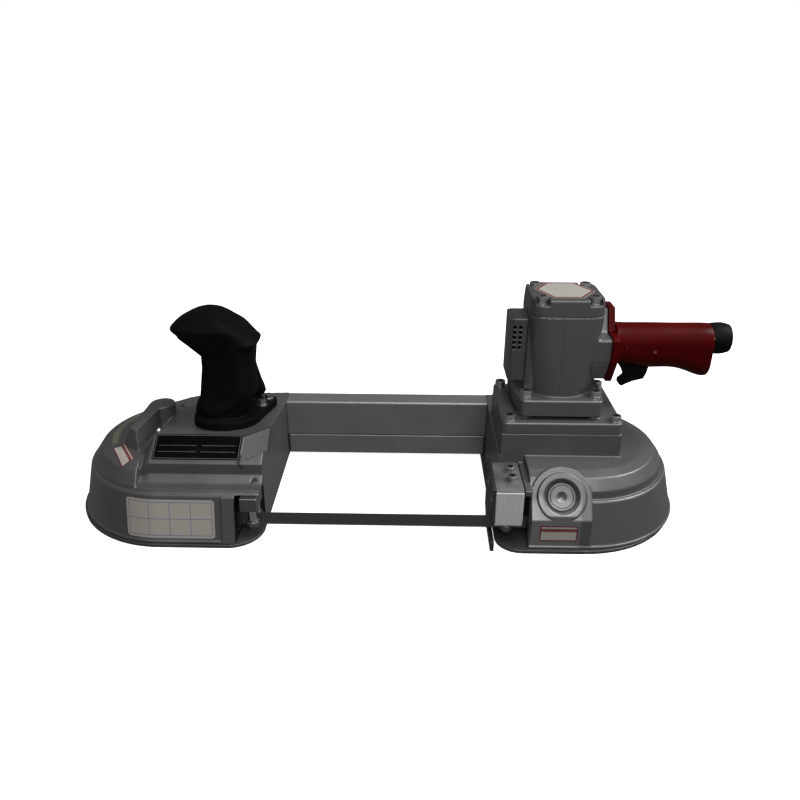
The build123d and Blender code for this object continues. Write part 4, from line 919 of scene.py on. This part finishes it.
def label(name, size, corner, lie, finish, thick=LABEL_THICK, columns=40):
    """A thin label with round corners; lie gives its point and way out for a place on the print."""
    width, height = size
    tops, bottoms, places = [], [], []
    rows = rows_for(height, corner)
    for up in rows:
        drop = max(0.0, corner - up, up - (height - corner))
        inset = corner - math.sqrt(max(0.0, corner**2 - drop**2))
        for step in range(columns + 1):
            across = inset + (width - 2 * inset) * step / columns
            point, out = lie(across, up)
            tops.append(point + out * thick)
            bottoms.append(point - out * thick)
            places.append((across, up))
    wide, count = columns + 1, len(tops)
    last = count - wide
    faces = quads(len(rows), wide, around=False)
    faces += [tuple(index + count for index in reversed(face)) for face in faces]
    loop = [*range(wide), *range(wide + columns, count, wide)]
    loop += [*range(count - 2, last - 1, -1), *range(last - wide, 0, -wide)]
    faces += [(b, a, a + count, b + count) for a, b in zip(loop, loop[1:] + loop[:1])]
    return print_piece(name, tops + bottoms, faces, places + places, finish)


def hexagon(name, corners, height, finish, rings=12):
    """A flat six-sided label whose print place runs inwards from its edge."""
    spots = [Vector(corner) for corner in corners]
    count = len(spots)
    centre = sum(spots, Vector((0.0, 0.0))) / count
    inset = min((spot - centre).length for spot in spots) * CAP_INSET
    points, places = [], []
    for ring in range(rings):
        share = ring / rings
        for corner in spots:
            spot = centre + (corner - centre) * (1 - share)
            points.append((spot.x * MM, spot.y * MM, height + LABEL_THICK))
            places.append((share * inset * MM, 0.0))
    last, edge = len(points) - count, len(points) + 1
    points.append((centre.x * MM, centre.y * MM, height + LABEL_THICK))
    points += [(x * MM, y * MM, height - LABEL_THICK) for x, y in corners]
    places += [(inset * MM, 0.0)] + [(0.0, 0.0)] * count
    faces = [(b, a, c, d) for a, b, d, c in quads(rings, count)]
    pairs = [(side, (side + 1) % count) for side in range(count)]
    faces += [(last + after, last + side, edge - 1) for side, after in pairs]
    faces += [(side, after, edge + after, edge + side) for side, after in pairs]
    faces.append(tuple(range(edge, edge + count)))
    return print_piece(name, points, faces, places, finish)


# Geometry Nodes trees
class Rig(Graph):
    """A Geometry Nodes tree being put together, with inputs that are numbers or of a given kind."""

    def __init__(self, name, *numbers, **others):
        super().__init__(bpy.data.node_groups.new(name, "GeometryNodeTree"))
        sockets = self.tree.interface
        for text, kind in {"Geometry": "Geometry", **dict.fromkeys(numbers, "Float"), **others}.items():
            sockets.new_socket(text, in_out="INPUT", socket_type=f"NodeSocket{kind}")
        sockets.new_socket("Geometry", in_out="OUTPUT", socket_type="NodeSocketGeometry")
        self.start = self.tree.nodes.new("NodeGroupInput")
        self.end = self.tree.nodes.new("NodeGroupOutput")

    def take(self, name):
        return Wire(self, self.start.outputs[name])

    def lifted(self, geometry, height):
        rise = self.node("ShaderNodeCombineXYZ", None, {"Z": height})
        return self.node("GeometryNodeTransform", None, {"Geometry": geometry, "Translation": rise})

    def bent(self, geometry, axis, shift):
        """Geometry with each point moved along an axis."""
        move = self.node("ShaderNodeCombineXYZ", None, {axis: shift})
        return self.node("GeometryNodeSetPosition", None, {"Geometry": geometry, "Offset": move})

    def cylinder(self, sides, radius, height, settings=None, **sockets):
        sockets.update({"Vertices": sides, "Radius": radius, "Depth": height})
        return self.node("GeometryNodeMeshCylinder", settings, sockets)

    def joined(self, *parts):
        return self.node("GeometryNodeJoinGeometry", None, {"Geometry": list(parts)})

    def close(self, points, instance, turn):
        """Ends the tree in plain geometry with its finish: one instance on each point."""
        sockets = {"Points": points, "Instance": instance, "Rotation": turn}
        placed = self.node("GeometryNodeInstanceOnPoints", None, sockets)
        real = self.node("GeometryNodeRealizeInstances", None, {"Geometry": placed})
        done = self.node("GeometryNodeSetMaterial", None, {"Geometry": real, "Material": self.take("Material")})
        self.plug(self.end.inputs[0], done)
        return self.tree


def run_rig(piece, tree, **values):
    """Runs a tree on a piece with its inputs set, and keeps the plain mesh."""
    work = piece.modifiers.new("rig", "NODES")
    work.node_group = tree
    for item in tree.interface.items_tree:
        key = item.name.lower().replace(" ", "_")
        if item.in_out == "INPUT" and key in values:
            work[item.identifier] = values[key]
    return made_plain(piece)


def screw_tree():
    """Screws on points: a domed head with a six-sided socket, on a shank."""
    found = bpy.data.node_groups.get("screws")
    if found:
        return found
    rig = Rig(
        "screws", "Head Radius", "Head Height", "Dome", "Socket Radius", "Shank Radius", "Shank Length",
        Way="Vector", Material="Material",
    )
    radius, height, shank = rig.take("Head Radius"), rig.take("Head Height"), rig.take("Shank Length")
    fan = {"Side Segments": 1, "Fill Segments": 6}
    head = rig.cylinder(HEAD_SIDES, radius, height, {"fill_type": "TRIANGLE_FAN"}, **fan)
    x, y, z = rig.split(rig.node("GeometryNodeInputPosition"))
    share = (x.sum("SQRT", x * x + y * y) / radius) ** 2.0
    sink = share * share * ((z > 0.0) * rig.take("Dome"))
    socket = rig.lifted(rig.cylinder(SOCKET_SIDES, rig.take("Socket Radius"), height), height * SOCKET_LIFT)
    cut = rig.node("GeometryNodeMeshBoolean", {"operation": "DIFFERENCE", "solver": "EXACT"}, {
        "Mesh 1": rig.bent(head, "Z", sink * -1.0), "Mesh 2": socket,
    })
    below = rig.lifted(rig.cylinder(SHANK_SIDES, rig.take("Shank Radius"), shank), shank * -0.5)
    screw = rig.joined(rig.lifted(cut, height * 0.5), below)
    turn = rig.node("FunctionNodeAlignEulerToVector", {"axis": "Z"}, {"Vector": rig.take("Way")})
    return rig.close(rig.take("Geometry"), screw, turn)


def band_tree():
    """A toothed band: one tooth's length of strip repeated along a path."""
    rig = Rig("toothed_band", "Pitch", "Width", "Thickness", "Gullet", Count="Int", Material="Material")
    pitch, width = rig.take("Pitch"), rig.take("Width")
    strip = rig.node("GeometryNodeMeshGrid", None, {
        "Size X": pitch, "Size Y": width, "Vertices X": 4, "Vertices Y": 3,
    })
    x, y, _ = rig.split(rig.node("GeometryNodeInputPosition"))
    near = (abs(x / pitch - TIP_AT) * TIP_SLOPE) & 1.0
    lift = near * (y < width * -0.25) * rig.take("Gullet")
    shift = (abs(y) < width * 0.25) * (width * ROOT_SHIFT)
    toothed = rig.bent(strip, "Y", lift + shift)
    raised = rig.node("GeometryNodeExtrudeMesh", {"mode": "FACES"}, {
        "Mesh": toothed, "Offset Scale": rig.take("Thickness"), "Individual": False,
    })
    back = rig.node("GeometryNodeFlipFaces", None, {"Mesh": toothed})
    stood = rig.node("GeometryNodeTransform", None, {
        "Geometry": rig.joined(raised, back), "Rotation": (math.pi / 2, 0.0, 0.0),
    })
    path = rig.node("GeometryNodeMeshToCurve", None, {"Mesh": rig.take("Geometry")})
    points = rig.node("GeometryNodeResampleCurve", None, {"Curve": path, "Count": rig.take("Count")})
    along = rig.node("GeometryNodeInputTangent")
    turn = rig.node("FunctionNodeAlignEulerToVector", {"axis": "X", "pivot_axis": "Z"}, {"Vector": along})
    return rig.close(points, stood, turn)


# Steps that build the saw
class SAW_OT_stage(bpy.types.Operator):
    """Floor, lights and camera"""

    bl_idname = "saw.stage"
    bl_label = "Stage"

    def execute(self, context):
        stage = context.scene.saw_stage
        low = cad_box[0][2]
        corners = [(x * FLOOR_HALF, y * FLOOR_HALF, low) for x, y in ((-1, -1), (1, -1), (1, 1), (-1, 1))]
        floor = add_piece("floor", mesh_of("floor", corners, [(0, 1, 2, 3)]), pale_floor)
        floor.visible_diffuse = False
        floor.visible_glossy = False
        context.scene.world = studio_sky(stage.sky)
        for name, place, size, power in LAMPS:
            lamp = bpy.data.lights.new(name, "AREA")
            lamp.energy = power * stage.power
            lamp.size = size
            light = bpy.data.objects.new(name, lamp)
            light.location = place
            light.rotation_euler = (LAMP_AIM - light.location).to_track_quat("-Z", "Y").to_euler()
            context.scene.collection.objects.link(light)
        eye = bpy.data.cameras.new("camera")
        eye.sensor_width = SENSOR_WIDTH
        eye.lens = stage.lens
        camera = bpy.data.objects.new("camera", eye)
        camera.location = stage.camera_place
        camera.rotation_euler = stage.camera_turn
        context.scene.collection.objects.link(camera)
        context.scene.camera = camera
        context.scene.view_settings.view_transform = "Standard"
        return {"FINISHED"}


class SAW_OT_castings(bpy.types.Operator):
    """Housings, gearbox lid, motor and beam, with their edges eased"""

    bl_idname = "saw.castings"
    bl_label = "Castings"

    def execute(self, context):
        set_up = context.scene.saw_castings
        for node, share in CASTINGS:
            paint = beam_paint if node.startswith("beam") else cast_paint
            eased_node(node, paint, set_up.grain, set_up.rounds, int(set_up.triangles * share))
        eased_node("pad_plug", cast_paint, set_up.grain / 2, *PLUG_SKIN)
        for node in ("idler_base_cover", "drive_base_cover"):
            eased_node(node, cover_paint, set_up.grain, *COVER_SKIN)
        return {"FINISHED"}


class SAW_OT_blade(bpy.types.Operator):
    """Toothed blade round both wheels"""

    bl_idname = "saw.blade"
    bl_label = "Blade"

    def execute(self, context):
        blade = context.scene.saw_blade
        radius = (BLADE_HIGH.y - BLADE_LOW.y) / 2
        z = (BLADE_LOW.z + BLADE_HIGH.z) / 2
        turns = [math.pi * step / BLADE_STEPS for step in range(BLADE_STEPS + 1)]
        points = [(radius * math.sin(turn), radius * -math.cos(turn), z) for turn in turns]
        points += [(IDLER_X - x, -y, z) for x, y, _ in points]
        count = len(points)
        mesh = bpy.data.meshes.new("blade_band")
        mesh.from_pydata(points, [(step, (step + 1) % count) for step in range(count)], [])
        path = sum((Vector(points[step]) - Vector(points[step - 1])).length for step in range(count))
        teeth = round(path / blade.pitch)
        piece = add_piece("blade_band", mesh, blade_steel)
        run_rig(
            piece, band_tree(), pitch=path / teeth, count=teeth, width=BLADE_HIGH.z - BLADE_LOW.z,
            thickness=BLADE_THICKNESS, gullet=blade.gullet, material=material(blade_steel),
        )
        settle(piece, "blade")
        return {"FINISHED"}


class SAW_OT_guides(bpy.types.Operator):
    """Guide blocks, rollers, pins and the stop plate"""

    bl_idname = "saw.guides"
    bl_label = "Blade guides"

    def execute(self, context):
        for node, finish in (
            ("right_guide_block", milled_steel), ("left_guide_block", dull_steel), ("stop_plate", plate_steel),
            ("left_thrust_pad", dark_steel),
        ):
            eased_node(node, finish, *GUIDE_SKIN)
        # The rollers' blackened steel also stands in for their shade under the guide blocks
        for node in ("left_front_roller", "left_rear_roller", "right_front_roller", "right_rear_roller"):
            turned(node, 2, ROLLER, dark_steel)
        eased_node("roller_pins", chrome, *PIN_SKIN)
        return {"FINISHED"}


def oval(left, right, centre, half, square, height, count=96):
    """A rounded box's outline at one height, all in millimetres."""
    points = []
    for step in range(count):
        turn = 2 * math.pi * step / count
        across, deep = math.cos(turn), math.sin(turn)
        x = (left + right) / 2 + (right - left) / 2 * math.copysign(abs(across) ** (2 / square), across)
        y = centre + half * math.copysign(abs(deep) ** (2 / square), deep)
        points.append(mm(x, y, height))
    return points


def lofted(rings):
    """Points and faces of a closed skin through rings of points."""
    count = len(rings[0])
    last = (len(rings) - 1) * count
    faces = quads(len(rings), count)
    faces += [tuple(reversed(range(count))), tuple(range(last, last + count))]
    return [point for ring in rings for point in ring], faces


def seat_point(x, y, up):
    """A point of the front handle's seat, from its own millimetres."""
    return mm(*SEAT) + mm(x, 0.0, 0.0) + FLOOR_RUN * (y * MM) + FLOOR_WAY * (up * MM)


def seat_plate():
    """Rings of the front handle's seat, a round plate drawn out to the lug."""
    turns = [step * math.tau / SEAT_STEPS for step in range(SEAT_STEPS)]
    spots = []
    for x, y, radius in SEAT_CIRCLES:
        spots += [(x + radius * math.cos(turn), y + radius * math.sin(turn)) for turn in turns]
    outline = [spots[index] for index in convex_hull_2d([Vector(spot) for spot in spots])]
    return [[seat_point(x, y, up) for x, y in outline] for up in (0.0, SEAT_HEIGHT)]


def depth_at(height):
    """Half the front handle's depth at a height."""
    for (low, _, _, first, _), (high, _, _, second, _) in zip(GRIP, GRIP[1:]):
        if low <= height <= high:
            return first + (second - first) * (height - low) / (high - low)
    raise ValueError("height is off the front handle")


class SAW_OT_front_handle(bpy.types.Operator):
    """Leaning rubber grip with a hooded top, a raised front panel and a seat with a lug"""

    bl_idname = "saw.front_handle"
    bl_label = "Front handle"

    def execute(self, context):
        rings = [
            [oval(left, right, HANDLE_Y, half, square, z) for z, left, right, half, square in GRIP],
            [
                oval(left, right, HANDLE_Y - 2 * PANEL_RISE, depth_at(z) - PANEL_RISE, PANEL_SQUARE, z)
                for z, left, right in PANEL
            ],
            [oval(left, right, GUSSET_Y, half, square, z) for z, left, right, half, square in GUSSET],
            seat_plate(),
        ]
        points, faces = [], []
        for more_points, more_faces in map(lofted, rings):
            faces += [tuple(index + len(points) for index in face) for face in more_faces]
            points += more_points
        piece = add_piece("front_handle_grip", mesh_of("front_handle_grip", points, faces), moulded_rubber)
        ease(piece, *GRIP_SKIN)
        settle(piece, "front_handle")
        return {"FINISHED"}


class SAW_OT_trigger_handle(bpy.types.Operator):
    """Red handle with its trigger, collar and inlet"""

    bl_idname = "saw.trigger_handle"
    bl_label = "Trigger handle"

    def execute(self, context):
        eased_node("trigger_handle", gloss_red, *HANDLE_SKIN)
        eased_node("trigger", satin_black, *TRIGGER_SKIN)
        turned("inlet_collar", 0, COLLAR, satin_black)
        eased_node("trigger_pin", gloss_red, *TRIGGER_PIN_SKIN)
        return {"FINISHED"}


def joined(name, pieces, finish):
    """One piece made of several."""
    work = bmesh.new()
    for piece in pieces:
        work.from_mesh(piece.data)
        bpy.data.objects.remove(piece)
    mesh = bpy.data.meshes.new(name)
    work.to_mesh(mesh)
    work.free()
    return smooth(add_piece(name, mesh, finish), SCREW_SHARP)


def screw_row(name, places, way, head, shank, finish, dome, socket=1.0):
    """Screws at some seats: head and shank are each a radius and a length, and socket is a factor on its share."""
    mesh = bpy.data.meshes.new(name)
    mesh.from_pydata([tuple(place) for place in places], [], [])
    piece = add_piece(name, mesh, finish)
    run_rig(
        piece, screw_tree(), head_radius=head[0], head_height=head[1], dome=dome,
        socket_radius=bpy.context.scene.saw_screws.socket * socket * head[0], shank_radius=shank[0],
        shank_length=shank[1], way=tuple(way), material=material(finish),
    )
    return smooth(piece, SCREW_SHARP)


def washered(name, places, way, head, shank, washer, stub, finish):
    """Screws on washers: head, shank and washer are each a radius and a length, and stub goes below a washer."""
    dome = bpy.context.scene.saw_screws.dome
    return joined(name, [
        screw_row(f"{name}_caps", places, way, head, shank, finish, dome),
        screw_row(f"{name}_washers", places, way, washer, (shank[0], stub), finish, dome / 3),
    ], finish)


def skin_of(name):
    """A finished skin, to be asked where a line meets it."""
    mesh = bpy.data.objects[name].data
    points = [point.co for point in mesh.vertices]
    return BVHTree.FromPolygons(points, [list(face.vertices) for face in mesh.polygons])


def met(skin, start, way):
    """The point and way out where a line from a place first meets a skin."""
    point, out, _, _ = skin.ray_cast(start, way)
    if point is None:
        raise ValueError("a print or a screw is off the edge of its casting")
    return point, out


class SAW_OT_screws(bpy.types.Operator):
    """Cap screws and pan heads"""

    bl_idname = "saw.screws"
    bl_label = "Screws"

    def execute(self, context):
        style = context.scene.saw_screws
        for node, radius, height, shank in CAP_SCREWS:
            low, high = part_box(node)
            seat = high.z - height
            sides = (low.x + radius, high.x - radius), (low.y + radius, high.y - radius)
            places = [(x, y, seat) for x in sides[0] for y in sides[1]]
            heads = washered(
                f"{node}_heads", places, UP, (radius, height), (shank, seat - low.z),
                (radius + style.washer, WASHER_HEIGHT), WASHER_STUB, dull_steel,
            )
            settle(heads, node)
        low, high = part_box("guide_screws")
        radius, height = GUIDE_HEAD
        places = [(high.x - radius, y, high.z - height) for y in (low.y + radius, high.y - radius)]
        pair = screw_row("guide_pair", places, UP, GUIDE_HEAD, GUIDE_SHANK, dull_steel, style.dome)
        places = [(low.x + TONGUE_HEAD[0], *TONGUE_SEAT)]
        tongue = screw_row("guide_tongue", places, UP, TONGUE_HEAD, TONGUE_SHANK, dark_steel, style.dome / 2)
        settle(joined("guide_screw_heads", [pair, tongue], dull_steel), "guide_screws")
        places = [seat_point(x, y, SEAT_HEIGHT) for x, y in SEAT_SCREWS]
        heads = washered(
            "front_handle_screw_heads", places, FLOOR_WAY, LUG_HEAD, LUG_SHANK, LUG_WASHER, LUG_STUB, zinc,
        )
        settle(heads, "front_handle_screws")
        spot, way = met(skin_of("idler_housing_skin"), FLOOR_SCREW, DOWN)
        screw = screw_row("floor_screw", [spot], way, FLOOR_HEAD, FLOOR_SHANK, zinc, FLOOR_DOME, FLOOR_SOCKET)
        settle(screw, slot="zinc_steel")
        return {"FINISHED"}


def on_skirt(across, up):
    """A place on the idler housing's skirt, from the length round it and the height."""
    (low, wide), (high, narrow) = SKIRT
    z = CARD_LOW + up
    radius = wide + (narrow - wide) * (z - low) / (high - low)
    lean = Vector((high - low, wide - narrow)).normalized()
    along = CARD_START + across
    turn = min(0.0, along) / radius
    out = Vector((math.sin(turn), -math.cos(turn), 0.0))
    centre = Vector((IDLER_X + max(0.0, along), 0.0, z))
    return centre + out * radius, out * lean.x + Vector((0.0, 0.0, lean.y))


def on_panel(across, up):
    """A place on the drive panel."""
    return PANEL_PLACE + Vector((across, 0.0, up)), -BACK


def on_pad(across, up):
    """A place on the nameplate's pad."""
    side = Vector((across - PLATE_SIZE[0] / 2, 0.0, 0.0))
    return PLATE_MIDDLE + side + PAD_RUN * (up + PLATE_RAISE - PLATE_SIZE[1] / 2), PAD_WAY


class SAW_OT_labels(bpy.types.Operator):
    """Nameplate and blank labels"""

    bl_idname = "saw.labels"
    bl_label = "Labels"

    def execute(self, context):
        idler_skin, motor_skin = skin_of("idler_housing_skin"), skin_of("motor_body_skin")

        def on_ring(across, up):
            start, far, high = RING_CORNERS
            spot = start + (far - start) * (across / RING_LABEL[0]) + (high - start) * (up / RING_LABEL[1])
            return met(idler_skin, spot, DOWN)

        def on_arc(across, up):
            turn = ARC_SPAN[0] + across / ARC_RADIUS
            radius = ARC_RADIUS + up - ARC_WIDTH / 2
            spot = Vector((IDLER_X + radius * math.cos(turn), radius * math.sin(turn), ABOVE))
            return met(idler_skin, spot, DOWN)

        def on_seam(across, up):
            return met(motor_skin, SEAM_START + Vector((across, 0.0, up)), BACK)

        def on_joint(across, up):
            return met(motor_skin, JOINT_START + Vector((across, 0.0, up)), BACK)

        arc_size = ((ARC_SPAN[1] - ARC_SPAN[0]) * ARC_RADIUS, ARC_WIDTH)
        above = middle("motor_cap")
        above.z = ABOVE
        top = met(skin_of("motor_cap_skin"), above, DOWN)[0].z
        for slot, piece in (
            ("black_plate", label("skirt_card", CARD_SIZE, CARD_CORNER, on_skirt, blank_card)),
            ("black_plate", label("drive_panel_label", PANEL_LABEL, LABEL_CORNER, on_panel, panel_label)),
            ("black_plate", label("idler_ring_label", RING_LABEL, LABEL_CORNER, on_ring, ring_label)),
            ("cast_grey", label("idler_arc_print", arc_size, ARC_CORNER, on_arc, olive_print, ARC_THICK)),
            ("black_plate", hexagon("cap_label", CAP_SIDES, top, cap_label)),
            ("cast_grey", label("motor_seam", SEAM_SIZE, LINE_CORNER, on_seam, seam_shade, LINE_THICK, LINE_COLUMNS)),
            ("cast_grey", label("motor_joint_edge", JOINT_SIZE, LINE_CORNER, on_joint, worn_edge, LINE_THICK)),
        ):
            settle(piece, slot=slot)
        settle(label("nameplate_face", PLATE_SIZE, PLATE_CORNER, on_pad, name_plate, PLATE_THICK), "nameplate")
        return {"FINISHED"}


class SAW_OT_inner_parts(bpy.types.Operator):
    """Finishes of the pieces whose frame shape is already right"""

    bl_idname = "saw.inner_parts"
    bl_label = "Inner parts"

    def execute(self, context):
        finishes = {
            "zinc_steel": zinc, "dark_steel": dark_steel, "bright_steel": inner_steel, "tyre_rubber": tyre,
            "wheel_aluminium": wheel_alloy, "brass": brass, "vane_plastic": vane_plastic, "black_plate": name_plate,
            "roller_chrome": chrome,
        }
        for node, piece in frame["nodes"].items():
            finish = finishes.get(slot_of[node])
            if finish is not None:
                for slot in piece.material_slots:
                    slot.material = material(finish)
        return {"FINISHED"}


class SAW_PT_panel(bpy.types.Panel):
    """Lists the steps that build the saw"""

    bl_idname = "SAW_PT_panel"
    bl_label = "Band saw"
    bl_space_type = "VIEW_3D"
    bl_region_type = "UI"
    bl_category = "Band saw"

    def draw(self, context):
        for step in STEPS:
            self.layout.operator(step.bl_idname)


GROUPS = {
    "saw_stage": SawStage,
    "saw_castings": SawCastings,
    "saw_colours": SawColours,
    "saw_blade": SawBlade,
    "saw_screws": SawScrews,
}
STEPS = (
    SAW_OT_stage, SAW_OT_castings, SAW_OT_blade, SAW_OT_guides, SAW_OT_front_handle, SAW_OT_trigger_handle,
    SAW_OT_screws, SAW_OT_labels, SAW_OT_inner_parts,
)


def register():
    for name, group in GROUPS.items():
        bpy.utils.register_class(group)
        setattr(bpy.types.Scene, name, PointerProperty(type=group))
    for step in STEPS:
        bpy.utils.register_class(step)
    bpy.utils.register_class(SAW_PT_panel)


def unregister():
    bpy.utils.unregister_class(SAW_PT_panel)
    for step in reversed(STEPS):
        bpy.utils.unregister_class(step)
    for name, group in GROUPS.items():
        delattr(bpy.types.Scene, name)
        bpy.utils.unregister_class(group)


def main():
    """Builds the saw."""
    register()
    for step in STEPS:
        group, name = step.bl_idname.split(".")
        getattr(getattr(bpy.ops, group), name)()


if __name__ == "__main__":
    main()
